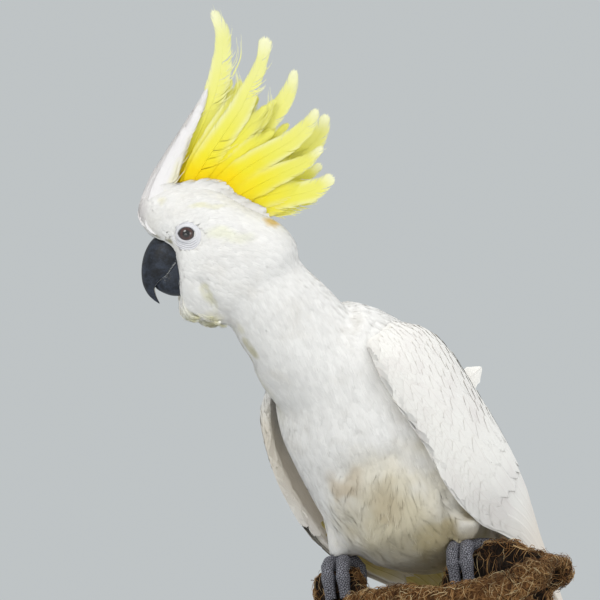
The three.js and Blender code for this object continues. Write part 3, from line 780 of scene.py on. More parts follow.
# Stains and painted shade along lines: both ends from the head's middle plane, reach, colour, strength.
headStainsAndShade = [
    # Painted shade: a dark olive slit in the cheek crease.
    ((-128.6, 24, 347), (-124.4, 24, 340), 2.3, (138, 134, 48), 0.85),
    # Painted shade: a dark olive band under the forehead feathers, at the foot of the bill.
    ((-158, 5, 382.5), (-146, 13, 375.5), 2.6, (130, 120, 64), 0.7),
    # Partly yellow and partly painted shade, along the cheek crease below the slit.
    ((-127, 24, 344), (-119, 20, 330), 5.5, (206, 200, 134), 0.55),
    ((-121, 14, 325), (-106, 12, 317), 8.0, (212, 204, 142), 0.45),
    # Painted shade, with some yellow: olive under the hanging feathers of the throat.
    ((-99.5, 7, 310), (-96, 7, 302), 6.2, (180, 171, 106), 0.55),
]
# Places are along the trunk, to its back and to its left.
trunkTints = [
    ((-43, -40, 18), (64, 66, 60), (214, 204, 176), 0.95),
    # The vent's olive: partly its yellow wash, partly painted shade under the belly.
    ((-94, -8, 0), (46, 50, 70), (160, 150, 106), 0.9),
    ((-10, -56, 0), (19, 30, 18), (194, 174, 142), 0.6),
    # Painted shade: a brownish patch low on the belly.
    ((-30, -50, 20), (18, 30, 18), (186, 168, 134), 0.45),
    # Over the left leg: partly cream, partly painted shade from the wing above it.
    ((-68, -18, 44), (20, 22, 20), (210, 198, 170), 0.7),
    ((-66, -30, 30), (24, 34, 24), (196, 178, 126), 0.6),
    ((62, -40, -30), (24, 24, 20), (232, 226, 200), 0.4),
]


def trunkFrame(shader, place):
    offset = shader.vector("SUBTRACT", place, tuple(trunkMiddle))
    axes = (forward, backward, leftward)
    return shader.combine(*(shader.dot(offset, tuple(axis)) for axis in axes))


# Moves places about by up to the given distance, so that tints have uneven rims.
def wander(shader, place, amount, distance):
    moved = shader.vector("ADD", place, shader.vector("SCALE", amount, scale=2.0 * distance))
    return shader.vector("ADD", moved, (-distance,) * 3)


def layPlumage(shader, white=plumageWhite):
    fine, broad = shader.grain(0.05), shader.grain(0.022)
    shader.colour = paint(*white)
    shader.layer((226, 221, 212), fine.ease(0.45, 0.8) * 0.5)
    warped = wander(shader, shader.place, fine, 5.0)
    x, y, z = (shader.part(warped, axis) for axis in range(3))
    headPlace = shader.combine(x, abs(y - float(headPlane)), z)
    for place, reach, tint, strength in headTints:
        shader.layer(tint, shader.spot(headPlace, place, reach) * strength)
    for start, end, reach, tint, strength in headStainsAndShade:
        shader.layer(tint, shader.streak(headPlace, start, end, reach) * strength)
    trunkPlace = wander(shader, trunkFrame(shader, warped), broad, 32.0)
    for place, reach, tint, strength in trunkTints:
        shader.layer(tint, shader.spot(trunkPlace, place, reach) * strength)


# Feathers take the plumage's colour, a slight tone of their own, painted shade toward their roots on the
# belly, and fine barbs along the vane.
def featherShader(name):
    shader = Shader(name, 0.8)
    tone, vane = shader.tone(), shader.uv("vane")
    layPlumage(shader)
    darker = shader.mix((0, 0, 0), shader.colour, 0.9)
    shader.colour = shader.mix(darker, shader.colour, tone)
    downy = shader.spot(trunkFrame(shader, shader.place), (-56, -40, 0), (56, 64, 60))
    # On the belly, painted shade: darker tan toward each feather's root, in the gaps between feathers.
    rootward = 1 - shader.part(vane, 1).ease(0.45, 1.0)
    shader.layer((162, 146, 108), rootward * downy * 0.1)
    shader.layer((240, 234, 214), tone.ease(0.6, 1.0) * (1 - rootward) * downy * 0.6)
    shift = shader.combine(tone * 90, tone * 31)
    streaks = shader.noise(shader.vector("ADD", shader.stretch(vane, (11, 1.3, 1)), shift), 1.0, 2)
    return shader.set(Normal=shader.bump(streaks, 0.07))


eyeRing = {"reach": 8.4, "drop": 1.6}  # the bare skin round an eye
coatBarbs = {"face": 4, "cheek": 5, "crown": 5, "neck": 6, "breast": 7, "belly": 7, "back": 6, "leg": 5}
billSurfaces = [Surface(*nodeShape(name)) for name in ("bill_upper", "bill_lower")]
footNodes = [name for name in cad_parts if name.startswith(("foot_", "toe_"))]
footSurfaces = [Surface(*nodeShape(name)) for name in footNodes]
wingSurfaces = {side: Surface(*nodeShape("wing_" + side)) for side in sides}


def clearOf(surfaces, places, gap):
    clear = np.ones(len(places), bool)
    for surface in surfaces:
        for i in surface.nearBox(places, gap):
            spot, way, _, distance = surface.tree.find_nearest(places[i].tolist())
            if distance < gap or way.dot(Vector(places[i]) - spot) < 0:
                clear[i] = False
    return clear


def fromEyes(places):
    across = places[:, 0] - eyeMiddle[0]
    up = places[:, 2] - (eyeMiddle[2] - eyeRing["drop"])
    distance = np.hypot(across, up)
    aside = np.abs(places[:, 1] - headPlane) < 12
    return np.where(aside, 99, distance), np.stack([across, 0 * up, up], axis=1)


def underWing(places, normals, lies):
    hidden = np.zeros(len(places), bool)
    for surface in wingSurfaces.values():
        for i in surface.nearBox(places, 3):
            lie, normal = lies[i], normals[i]
            across = np.cross(normal, lie)
            tests = (places[i] + step - normal for step in (lie * 2, lie * 18, across * 8, across * -8))
            hits = (surface.tree.ray_cast(test.tolist(), normal.tolist(), 16)[0] for test in tests)
            hidden[i] = all(hit is not None for hit in hits)
    return hidden


# Uneven turns that change slowly from place to place.
def swirlAt(places, fineness):
    return np.array([noise.noise(Vector(p) * fineness) for p in places.tolist()])


# Directions laid on a surface and turned about its normals.
def turned(lies, normals, degrees):
    lies = unit(lies - normals * dot(lies, normals))
    turn = np.radians(degrees)[:, None]
    return lies * np.cos(turn) + np.cross(normals, lies) * np.sin(turn)


def onwardLies(places):
    return unit(readCoat(places)[0])


coatSpread = {"length": (0.86, 1.12), "width": (0.88, 1.12), "slope": (0.7, 1.4)}


def makeCoat():
    roots, normals = outline.scatter(
        lambda p: readCoat(p)[1][:, 2], lambda p: fromEyes(p)[0] > eyeRing["reach"], 11
    )
    lies, sizes, nearestRow = readCoat(roots)
    keep = clearOf(billSurfaces, roots, 0.5) & clearOf(footSurfaces, roots, 0.5)
    keep &= ~underWing(roots, normals, unit(lies))
    roots, normals, lies, sizes, nearestRow = (x[keep] for x in (roots, normals, lies, sizes, nearestRow))
    lengths, widths, _, depths, slopes, ruffles = sizes.T
    count = len(roots)
    random = seeded(12)
    distance, outwards = fromEyes(roots)
    turnAway = np.exp(-(distance - eyeRing["reach"]) / 2.2)[:, None]
    lies = unit(lies) + 1.6 * turnAway * unit(outwards)
    swirl = swirlAt(roots, 0.032) * np.maximum(ruffles - 7, 0) * 5
    lies = turned(lies, normals, random.normal(0, 1, count) * ruffles + swirl)
    uneven = zip((lengths, widths, slopes), coatSpread.values())
    lengths, widths, slopes = (size * random.uniform(*limits, count) for size, limits in uneven)
    tones = random.random(count)
    material = featherShader("coatFeather")
    rootUvs = unwrapBody(roots)
    for part, barbs in coatBarbs.items():
        chosen = np.flatnonzero(np.array([guideParts[row] == part for row in nearestRow]))
        pattern = partial(vanePattern, barbs, 0.8 if part == "belly" else 0.3, 0.28, vaneRows)
        coat = (x[chosen] for x in (roots, normals, lies, lengths, widths, depths, slopes))
        laid = layVanes(outline, random, pattern, coat, onwardLies)
        vanePiece("coat_" + part, laid, material, "plumage", rootUvs[chosen], tones[chosen])


# Long loose locks over the belly, turned by a swirl.
bellyLocks = {
    "middle": (-40, -44, 4), "reach": (46, 60, 52), "spacing": 3.6, "length": (16, 28), "half": (1.4, 2.6),
    "depth": 1.0, "slope": 0.08, "raise": (0.1, 0.65), "ruffle": 16, "swirl": 95, "clear": (8, 6),
}


def makeBellyLocks():
    def allowed(places):
        local = np.stack(fromTrunk(places), axis=1)
        return np.linalg.norm((local - bellyLocks["middle"]) / np.array(bellyLocks["reach"]), axis=1) < 1

    roots, normals = outline.scatter(lambda p: np.full(len(p), bellyLocks["spacing"]), allowed, 14)
    lies = unit(readCoat(roots)[0])
    shanks = [Surface(*nodeShape(name)) for name in ("leg_left", "leg_right")]
    gaps = zip((footSurfaces, shanks), bellyLocks["clear"])
    keep = np.all([clearOf(surfaces, roots, gap) for surfaces, gap in gaps], axis=0)
    keep &= ~underWing(roots, normals, lies)
    roots, normals, lies = roots[keep], normals[keep], lies[keep]
    count = len(roots)
    random = seeded(15)
    ruffle = random.normal(0, bellyLocks["ruffle"], count)
    lies = turned(lies, normals, ruffle + swirlAt(roots, 0.05) * bellyLocks["swirl"])
    lengths, widths = (random.uniform(*bellyLocks[size], count) for size in ("length", "half"))
    depths, slopes = (np.full(count, bellyLocks[size]) for size in ("depth", "slope"))
    coat = (roots, normals, lies, lengths, widths, depths, slopes)
    laid = layVanes(outline, random, partial(vanePattern, 4, 1.0, 0.3, vaneRows), coat, onwardLies, 0.5)
    points, _, ways, owners, local = laid
    rise = random.uniform(*bellyLocks["raise"], count)[owners][:, None]
    points += ways * np.sin(np.pi * np.clip(local[:, 1:2] * 0.8, 0, 1)) * rise
    tones = random.uniform(0.4, 1, count)
    vanePiece("bellyLocks", laid, featherShader("lockFeather"), "plumage", unwrapBody(roots), tones)


# The skin lies as deep under the outline as the feathers' roots do.
def makeSkin():
    depths = readCoat(outline.points)[1][:, 3:4]
    points = outline.points - outline.normals * depths
    shader = Shader("skin", 0.8, 0.2)
    layPlumage(shader)
    shader.set(Normal=shader.bump(shader.noise(shader.place, 1.2, 2), 0.2))
    piece = makePiece("skin", points, outline.faces, shader.material, "plumage", fleshNodes)
    uvs = unwrapBody(outline.points)[outline.faces]
    wrapped = (np.ptp(uvs[:, :, 0], axis=1) > 0.5)[:, None] & (uvs[:, :, 0] < 0.5)
    uvs[:, :, 0] = np.where(wrapped, 1, uvs[:, :, 0])  # faces that cross the unwrap's seam
    piece.data.uv_layers.new(name="OFBake").uv.foreach_set("vector", uvs.astype(np.float32).ravel())
    return Surface(points, outline.faces)


skinSurface = makeSkin()
makeCoat()
makeBellyLocks()
report("coat")


# Values at each place, from rows of [place, value, value ...], with eased steps between rows.
def readRows(rows, at):
    rows = np.array(sorted(rows))
    places, values = rows[:, 0], rows[:, 1:]
    last = len(rows) - 1
    at = np.clip(np.asarray(at, float), places[0], places[-1])
    k = np.clip(np.searchsorted(places, at, "right") - 1, 0, last - 1)
    before, after = np.maximum(k - 1, 0), np.minimum(k + 2, last)
    span = (places[k + 1] - places[k])[..., None]
    share = (at - places[k])[..., None] / span
    slopeIn = (values[k + 1] - values[before]) / (places[k + 1] - places[before])[..., None] * span
    slopeOut = (values[after] - values[k]) / (places[after] - places[k])[..., None] * span
    s2, s3 = share**2, share**3
    result = (2 * s3 - 3 * s2 + 1) * values[k] + (s3 - 2 * s2 + share) * slopeIn
    result = result + (3 * s2 - 2 * s3) * values[k + 1] + (s3 - s2) * slopeOut
    return np.moveaxis(result, -1, 0)


# The surface that a folded wing lies on: along the trunk, half width, half depth, shift to the back,
# then its two edges in degrees from the breast line, and its thickness in front and over the rest.
foldedWing = [
    [70, 44, 43, -6, 74, 112, 5, 4],
    [55, 53, 51, -2, 62, 129, 10, 5.5],
    [35, 58.5, 56.5, 0, 58, 143, 9, 5.5],
    [0, 61, 58.5, 0, 60, 159, 8, 6.5],
    [-44, 61, 58, 0, 62, 171, 6, 8.5],
    [-71, 59, 54, 4, 69, 175, 3, 6.6],
    [-84, 57, 50, 6, 80, 175, 2.6, 5.6],
    [-100, 54, 43, 9.5, 90, 174, 2.2, 4.5],
    [-120, 50, 35, 13.3, 95, 171, 2, 3.9],
    [-149, 46, 24, 18, 94, 165, 1.6, 2.6],
    [-180, 38, 11, 22, 96, 152, 1.3, 1.9],
    [-206, 31, 5, 23, 100, 124, 1, 1.2],
]
wingPose = {
    "left": {"side": 1, "lift": 5, "slide": 0, "swell": 0},
    "right": {"side": -1, "lift": 9, "slide": -7, "swell": 4},
}
wingEnds = {"top": 68, "tip": -205}
wingSheet = {"rows": 96, "inner": 16, "outer": 44}


# A point of the folded wing's outer face: how far along it, across it from front edge 0 to rear
# edge 1, and how high above it. Inner points lie on the face against the body.
def wingPoint(side, place, across, height, inner=False):
    pose = wingPose[side]
    halfWidth, halfDepth, shift, front, rear, edgeThick, backThick = readRows(foldedWing, place)
    angle = np.radians(front + (rear - front) * across)
    frontShare = 1 - ease(across, 0, 0.55)
    raised = pose["lift"] * frontShare * np.sin(np.pi * np.clip((place + 70) / 140, 0, 1)) + 0.6
    raised = raised - 1.4 * ease(across, 0.86, 1)
    rounded = np.sqrt(np.clip(np.minimum(across, 1 - across) * 7, 0.12, 1))
    thick = np.maximum((backThick + (edgeThick - backThick) * frontShare) * rounded, 0.9)
    thick = thick + pose["swell"] * frontShare * np.sin(np.pi * np.clip((place + 150) / 200, 0, 1))
    reach = raised - height if inner else raised + thick + height
    aside = pose["side"] * (halfWidth + reach) * np.sin(angle)
    return onTrunk(place + pose["slide"], shift - (halfDepth + reach) * np.cos(angle), aside)


# Heights and widths of the tail's chart, in millimetres.
tailShape = {"root": -92, "tip": -268, "rootHalf": 22, "tipHalf": 45, "cornerCut": 26, "quills": 12}


def tailPoint(place, across, height, inner=False):
    root, tip, rootHalf, tipHalf, *_ = tailShape.values()
    share = np.clip((place - root) / (tip - root), 0, 1.05)
    half = rootHalf + (tipHalf - rootHalf) * ease(share, 0, 0.85)
    q = across * 2 - 1
    roof = 20 + 4 * share - 5 * q * q * (1.6 - 0.6 * share)
    thick = (4.5 - 3.5 * share) * (1 - 0.6 * np.abs(q))
    return onTrunk(place, roof + (-thick - height if inner else thick + height), half * q)


# A firm feather as a grid: rows along it, columns across it, with a raised shaft and a round tip.
def quillGrid(rows, roundFrom, rootWidth):
    along = 1 - (1 - np.linspace(0, 1, rows)) ** 1.35
    across = np.array([-1, -0.82, -0.5, -0.2, -0.055, 0, 0.055, 0.2, 0.5, 0.82, 1])
    tip = np.clip((along - roundFrom) / (1 - roundFrom), 0, 1)
    narrow = rootWidth + (1 - rootWidth) * ease(along, 0, 0.35)
    width = np.maximum(np.sqrt(np.clip(1 - tip**2.2, 0.0, 1)) * narrow, 0.04)
    return along, across, width, gridFaces(rows, len(across))


# Lays firm feathers on a chart of a wing or tail. Each row of feathers: start and end along it, start
# and end across it, half width, height of root and tip, tilt of the vane.
def layQuills(pointAt, feathers, rows, roundness, rootWidth, seed, mirror=1, inner=False):
    random = seeded(seed)
    f = np.array(feathers, float)
    lengths = np.abs(f[:, 1] - f[:, 0])
    roundFrom = float(np.clip(1 - roundness * f[:, 4].mean() / lengths.mean(), 0.2, 0.95))
    along, across, width, faces = quillGrid(rows, roundFrom, rootWidth)
    start, end, first, last, half, low, high, tilt = f.T[..., None, None]
    s, u = along[None, :, None], across[None, None, :]
    place = start + (end - start) * s + 0 * u
    middle = first + (last - first) * s + 0 * u
    step, flat = 0.01, 0 * place
    reach = np.linalg.norm(pointAt(place, middle + step, flat) - pointAt(place, middle - step, flat), axis=-1)
    perUnit = 2 * step / np.maximum(reach, 1e-6)
    ragged = random.uniform(0.965, 1.0, (len(f), rows, 1))
    nicks = random.random((len(f), rows, 1)) < 0.03
    edge = np.where(np.abs(u) > 0.9, np.where(nicks, 0.9, ragged), 1)
    offset = half * width[None, :, None] * u * edge
    place = place + 0.22 * half * (np.abs(u) ** 1.5) * np.sign(start - end) * ease(s, 0.5, 1)
    height = low + (high - low) * s**0.7 + tilt * u * half
    height = height - 0.056 * half * u**2 + 0.28 * np.exp(-((u / 0.05) ** 2)) * (1 - 0.7 * s)
    height = height + 0.03 * random.standard_normal((len(f), rows, 1)) * (np.abs(u) > 0.3)
    points = pointAt(place, middle + offset * perUnit, height, inner)
    size = rows * len(across)
    allFaces = repeatFaces(faces[:, :: -mirror if inner else mirror], size, len(f))
    local = np.stack(np.broadcast_arrays(u / 2 + 0.5, s), axis=-1) + np.zeros((len(f), 1, 1, 1))
    tones = random.random(len(f))
    chart, tones = (np.repeat(values, size, axis=0) for values in (f[:, [0, 2]], tones))
    return points.reshape(-1, 3), allFaces, local.reshape(-1, 2), chart, tones


def quillPiece(name, parts, material, replaces=()):
    points, faces, local, chart, tones = joinParts(parts)
    low, high = chart.min(axis=0), chart.max(axis=0) + 1e-6
    tufts = tuftUvs((chart - low) / (high - low), local)
    makePiece(name, points, faces, material, "wing", replaces, tone=tones, vane=local, OFBake=tufts)


def coverts(random, count, start, end, half, low, high, first=0.03, last=0.97, tilt=-0.035, skew=0.0):
    rows = []
    for k in range(count):
        q = first + (last - first) * (k + 0.5) / count
        shift = random.uniform(-2, 2) + skew * (q - 0.5)
        wide = half * random.uniform(0.92, 1.08)
        rows.append([start + shift, end + shift, q, q, wide, low, high, tilt])
    return rows


# How many feathers each layer has: to the wing's tip, over the rump, inside, over the rear edge.
wingCounts = {"primaries": 9, "secondaries": 12, "under": 10, "mantle": 17}


def wingFeathers(side):
    random = seeded(31)
    point, mirror = partial(wingPoint, side), wingPose[side]["side"]
    primaries, secondaries, under, mantle = [], [], [], []
    for k in range(wingCounts["primaries"]):
        share = k / (wingCounts["primaries"] - 1)
        end = -204 + 34 * share**1.4
        low, high = -3.2 + 0.16 * k, -0.7 + 0.05 * k
        primaries.append([-25, end, 0.06 + 0.34 * share, 0.10 + 0.72 * share, 6.4, low, high, -0.03])
    for k in range(wingCounts["secondaries"]):
        share = k / (wingCounts["secondaries"] - 1)
        q = 0.05 + 0.9 * share
        end = -92 - 52 * math.sin(math.pi * (0.12 + 0.62 * share)) - 6 * share
        low, high = -2.8 + 0.12 * k, -0.35 + 0.02 * k
        secondaries.append([10, end, q + 0.01, q * 0.97 + 0.03, 8.6, low, high, -0.03])
    greater = coverts(random, 11, 14, -62, 9.4, -2.2, -0.2, 0.04, 0.98, skew=18)
    for k in range(wingCounts["under"]):
        share = k / (wingCounts["under"] - 1)
        q = (0.06 + 0.8 * share) * 0.86 + 0.06
        under.append([-30, -194 + 30 * share, q, 0.19 + 0.62 * share, 6.4, 0.1, 0.5, 0.03])
    underCoverts = coverts(random, 9, -38, -96, 8.5, 0.2, 0.9, tilt=0.03)
    for k in range(wingCounts["mantle"]):
        start = 64 - 9 * k + random.uniform(-2, 2)
        mantle.append([start + 4, start - 28, 1.16, 0.93 + random.uniform(-0.02, 0.02), 8, -3.6, 0.7, 0])
    outer = [(mantle, 18, 1.0, 0.5, 35), (primaries, 26, 1.3, 0.4, 32)]
    outer += [(secondaries, 24, 1.0, 0.5, 33), (greater, 20, 1.0, 0.5, 34)]
    inner = [(under, 22, 1.3, 0.5, 38), (underCoverts, 14, 1.0, 0.5, 39)]
    return (
        [layQuills(point, *layer, mirror, isInner) for layer in layers]
        for layers, isInner in ((outer, False), (inner, True))
    )


# The face of a wing as one sheet that also wraps round its front edge.
def wingShell(side):
    places = np.linspace(wingEnds["top"] + 1, wingEnds["tip"] + 6, wingSheet["rows"])
    halves = []
    for half, (start, end) in (("inner", (0.5, 0.02)), ("outer", (0, 1))):
        place, across = np.meshgrid(places, np.linspace(start, end, wingSheet[half]), indexing="ij")
        halves.append(wingPoint(side, place, across, 0 * place, half == "inner"))
    grid = np.concatenate(halves, axis=1)
    faces = gridFaces(*grid.shape[:2])[:, :: wingPose[side]["side"]]
    return Surface(grid.reshape(-1, 3), faces)


# Places on a wing as how far along it and how far across.
def readWing(side, points):
    along, back, aside = fromTrunk(points)
    along = along - wingPose[side]["slide"]
    halfWidth, halfDepth, shift, front, rear, *_ = readRows(foldedWing, along)
    turn = np.arctan2(wingPose[side]["side"] * aside / halfWidth, (shift - back) / halfDepth)
    return along, (np.degrees(turn) - front) / (rear - front)


# Soft overlapping feathers over a wing's shoulder and along its front edge.
def wingCoverts(side, material):
    shell = wingShell(side)
    random = seeded(36)

    def spacing(places):
        along, across = readWing(side, places)
        return 3.4 + 4.2 * ease(-along, -66, -10) * ease(across, 0.02, 0.3)

    def allowed(places):
        along, across = readWing(side, places)
        shown = (across > 0.05 * ease(-along, 0, 40)) & (across < 0.94)
        return shown & (along > -18 - 62 * (1 - ease(across, 0.06, 0.24)))

    roots, normals = shell.scatter(spacing, allowed, 37, 4.0)
    gaps = spacing(roots)
    count = len(roots)
    along, across = readWing(side, roots)
    onwards = (wingPoint(side, along + step, across, 0 * along) for step in (-3, 3))
    lies = unit(np.subtract(*onwards)) + 0.05 * random.standard_normal((count, 3))
    lengths = gaps * random.uniform(3.3, 4.0, count) + 4
    widths = gaps * random.uniform(1.25, 1.4, count)
    pattern = partial(vanePattern, 9, 0.1, 0.26, vaneRows + firmRows)
    slopes = 0.2 - 0.15 * ease(across, 0.3, 0.7)
    coat = (roots, normals, lies, lengths, widths, np.full(count, 0.5), slopes)
    laid = layVanes(shell, random, pattern, coat, curl=0.16)
    points, _, ways, *_ = laid
    points += ways * 0.35
    chart = np.stack([np.clip(across, 0, 1), np.clip((along + 210) / 290, 0, 1)], axis=1)
    vanePiece("wingCoverts_" + side, laid, material, "wing", chart, random.random(count))


# A thin bed under the feathers, so that no light shows through between them.
def wingBed(side):
    places = np.linspace(wingEnds["top"] + 3, wingEnds["tip"] + 9, 42)
    acrosses = np.linspace(0.03, 1.11, 21)
    place, across = np.meshgrid(places, acrosses, indexing="ij")
    sunk = 0.75 + 1.6 * ease(place, -190, -60) - 1.7 * ease(place, -30, 5)
    tucked = np.maximum(ease(across, 0.95, 1.09), ease(place, 65, 71))
    outer = wingPoint(side, place, across, -sunk - 7 * tucked)
    inner = wingPoint(side, place, across, -0.7 + 7.5 * tucked, True)
    size = place.size
    index = np.arange(size).reshape(place.shape)
    rim = np.concatenate([index[0, :-1], index[:-1, -1], index[-1, :0:-1], index[:0:-1, 0]])
    onwards = np.roll(rim, -1)
    edge = ([onwards, rim, rim + size], [onwards, rim + size, onwards + size])
    faces = gridFaces(*place.shape)
    faces = np.concatenate([faces, faces[:, ::-1] + size, *(np.stack(half, axis=1) for half in edge)])
    faces = faces[:, :: wingPose[side]["side"]]
    chart = np.stack([place, across], axis=-1).reshape(-1, 2)
    local = np.tile(np.stack([across, place / 60], axis=-1).reshape(-1, 2), (2, 1))
    points = np.concatenate([outer.reshape(-1, 3), inner.reshape(-1, 3)])
    return points, faces, local, np.tile(chart, (2, 1)), np.full(2 * size, 0.4)


# A wing or tail feather. Stained ones are worn in front, and washed and shaded ones are yellow underneath,
# with painted shade round the tail's root.
def wingShader(name, stained=False, washedAndShaded=False):
    shader = Shader(name, 0.72, 0.3)
    tone, vane = shader.tone(), shader.uv("vane")
    cloud = shader.grain(0.03)
    along, across = shader.part(vane, 1), abs(shader.part(vane, 0) - 0.5)
    shaft = (1 - across / 0.035).ease(0, 1)
    shader.colour = paint(239, 236, 230)
    shader.layer((226, 220, 216), cloud.ease(0.4, 0.7) * 0.7)
    shader.layer((241, 239, 233), tone * 0.5)
    shader.layer((214, 206, 200), shaft * 0.35)
    shader.layer((250, 249, 247), across.ease(0.38, 0.5) * 0.25)
    low = wingPoint("left", vec(-128), vec(0.4), vec(0))[0]
    shader.layer((222, 208, 190), shader.spot(shader.place, low, (66, 60, 74)) * 0.6)
    if stained:
        dirt = shader.grain((0.09, 0.09, 0.05), 5, 0.65)
        upper, lower = wingPoint("right", vec(40, -95), vec(0.03, 0.03), vec(0, 0))
        worn = shader.spot(shader.place, (-66, lower[1], 200), (24, 40, 36))
        shader.layer((234, 224, 206), shader.streak(shader.place, upper, lower, 26) * 0.7)
        shader.layer((176, 146, 112), dirt.ease(0.45, 0.66) * worn * 0.85)
    if washedAndShaded:
        webs = (1 - across.ease(0.3, 0.5)) * (1 - along.ease(0.7, 1.0) * 0.7)
        shader.layer((206, 186, 78), webs * (cloud.ease(0.2, 0.7) * 0.35 + 0.5))
        shader.layer((150, 130, 50), shaft * 0.5)
        # Painted shade: darker olive round the tail's root, under the belly.
        shader.layer((160, 142, 66), shader.spot(shader.place, onTrunk(-105), (62, 62, 46)) * 0.85)
    slanted = shader.combine(across * 2, along * 26 - across * 9)
    barbs = shader.noise(shader.vector("ADD", slanted, shader.combine(tone * 17, tone * 40)), 1.6, 2)
    return shader.set(Normal=shader.bump(barbs, 0.16))


def makeWings(underside):
    for side in sides:
        material = wingShader("wingFeather_" + side, side == "right")
        quillPiece("wingBed_" + side, [wingBed(side)], material, ("wing_" + side,))
        outer, inner = wingFeathers(side)
        quillPiece("wingFeathers_" + side, outer, material)
        quillPiece("wingUnder_" + side, inner, underside)
        wingCoverts(side, material)


def makeTail(underside):
    root, tip, count = (tailShape[key] for key in ("root", "tip", "quills"))
    upper, lower = [], []
    for k in range(count):
        q = (k + 0.5) / count - 0.5
        end = tip + tailShape["cornerCut"] * abs(2 * q) ** 2.4 + 1.5
        level = -0.08 * abs(k - (count - 1) / 2)
        tilt = 0.05 if q < 0 else -0.05
        upper.append([root - 2, end, 0.5 + q * 0.75, 0.5 + q * 0.86, 9.6, -0.9, level - 0.1, tilt])
        lower.append([root - 12, end + 6, 0.5 + q * 0.72, 0.5 + q * 0.8, 8.6, 0.1, -0.4 - level, -tilt])
    random = seeded(41)
    rump = coverts(random, 7, root + 2, root - 52, 8, 0.4, 0.6, 0.06, 0.94)
    vent = coverts(random, 7, root - 2, root - 60, 8, 0.5, 0.9, 0.06, 0.94)
    above = [layQuills(tailPoint, *layer) for layer in ((upper, 26, 1.1, 0.5, 42), (rump, 14, 1.0, 0.5, 44))]
    below = ((lower, 26, 1.1, 0.5, 43), (vent, 14, 1.0, 0.5, 45))
    below = [layQuills(tailPoint, *layer, inner=True) for layer in below]
    quillPiece("tailFeathers", above, wingShader("tailFeather"), ("tail",))
    quillPiece("tailUnder", below, underside)


washedFeather = wingShader("washedFeather", washedAndShaded=True)
makeWings(washedFeather)
makeTail(washedFeather)
report("wings and tail")


# Each plume: place aside at its root and how far its tip spreads, the line of its shaft (X, Z) from
# the root to the tip, and its half width at even steps along that line.
plumes = [
    (0.5, 2.0, [(-143, 404), (-136, 428), (-125.5, 451), (-118.2, 471), (-115.6, 484), (-114.3, 496),
     (-114.8, 508), (-120.5, 521)], [6, 8.4, 8, 7.6, 7, 5.6, 4.9, 3.2]),
    (-2.5, -3.0, [(-138, 404), (-124, 427), (-111.8, 445), (-102.9, 458), (-97.4, 470), (-92.4, 481),
     (-88.6, 492), (-87.2, 503.5)], [6, 8.5, 8.4, 8, 6.6, 4.8, 4, 4.6]),
    (1.5, 3.0, [(-130, 405), (-113, 425), (-97.6, 440.7), (-86.4, 450), (-78, 460), (-71.8, 471),
     (-68.6, 483)], [6, 8.6, 8, 7, 6.2, 5, 2.8]),
    (-3.0, -4.5, [(-121, 404), (-101, 420), (-86, 429), (-71.8, 437.5), (-60.6, 447.5), (-54.6, 458)],
     [6, 8.4, 7.8, 6.8, 5.6, 2.6]),
    (1.0, 4.0, [(-115, 404), (-94, 416), (-77, 424), (-62.5, 431.5), (-53, 442.5), (-48.6, 455)],
     [6, 8.4, 8, 7.4, 6, 3]),
    (-3.0, -4.0, [(-109, 401), (-90, 411), (-75, 418.5), (-62, 424.5), (-51, 434)], [6, 7.8, 7, 5, 2.2]),
    (2.0, 3.5, [(-105, 399), (-87, 407), (-73, 411.5), (-61, 416), (-51.8, 423.2)], [6, 7.6, 6.6, 4.8, 2.4]),
    (-1.0, -2.5, [(-101, 397), (-83, 401), (-67.5, 404), (-54.5, 408), (-44.4, 415.5)],
     [6, 8, 7.8, 7, 3.4]),
    (0.5, 2.5, [(-96, 394), (-83, 396.5), (-74, 397.5), (-65, 399.5), (-54.5, 403)], [5, 6.8, 7, 6.2, 3]),
]
# Loose strands: where they leave (X, Z), how they bend, where they end, and how many.
strands = [
    ((-115, 452), (-105, 470), (-106.5, 489), 12),
    ((-112, 455), (-103, 468), (-106, 482), 10),
    ((-109, 480), (-103.5, 492), (-104, 508), 6),
    ((-97, 445), (-85.5, 457), (-84.5, 472), 12),
    ((-99, 443), (-88, 452), (-86, 465), 9),
    ((-72, 396), (-66, 398), (-58, 401), 14),
    ((-80, 393), (-72, 393), (-66, 394), 14),
]
looseBarbs = {0: 0.16, 1: 0.12, 8: 0.2}  # the share of loose barbs, by the plume's number
fillers = {"between": 3, "reach": (0.5, 0.72), "aside": 1.8}
crestColours = [
    (0.0, (252, 212, 0)), (0.22, (250, 220, 0)), (0.36, (244, 230, 46)), (0.55, (240, 235, 96)),
    (1.0, (240, 239, 156)),
]


# A smooth line through points, at shares 0 to 1 of the way from the first to the last.
def lineThrough(points, at):
    points = np.asarray(points, float)
    at = np.clip(at, 0, 1) * (len(points) - 1)
    k = np.clip(at.astype(int), 0, len(points) - 2)
    t = (at - k)[..., None]
    ends = np.concatenate([[2 * points[0] - points[1]], points, [2 * points[-1] - points[-2]]])
    a, b, c, d = (ends[k + i] for i in range(4))
    return 0.5 * (2 * b + (c - a) * t + (2 * a - 5 * b + 4 * c - d) * t**2 + (3 * b - a - 3 * c + d) * t**3)


# A barb's width at steps along it, and the corners of a shaft's section.
barbShape = [(0, 0.9), (0.3, 1.25), (0.62, 1.35), (0.86, 1.1), (1.0, 0.3)]
shaftRing = [(0.45, 0), (0, 0.5), (-0.45, 0), (0, -0.5)]


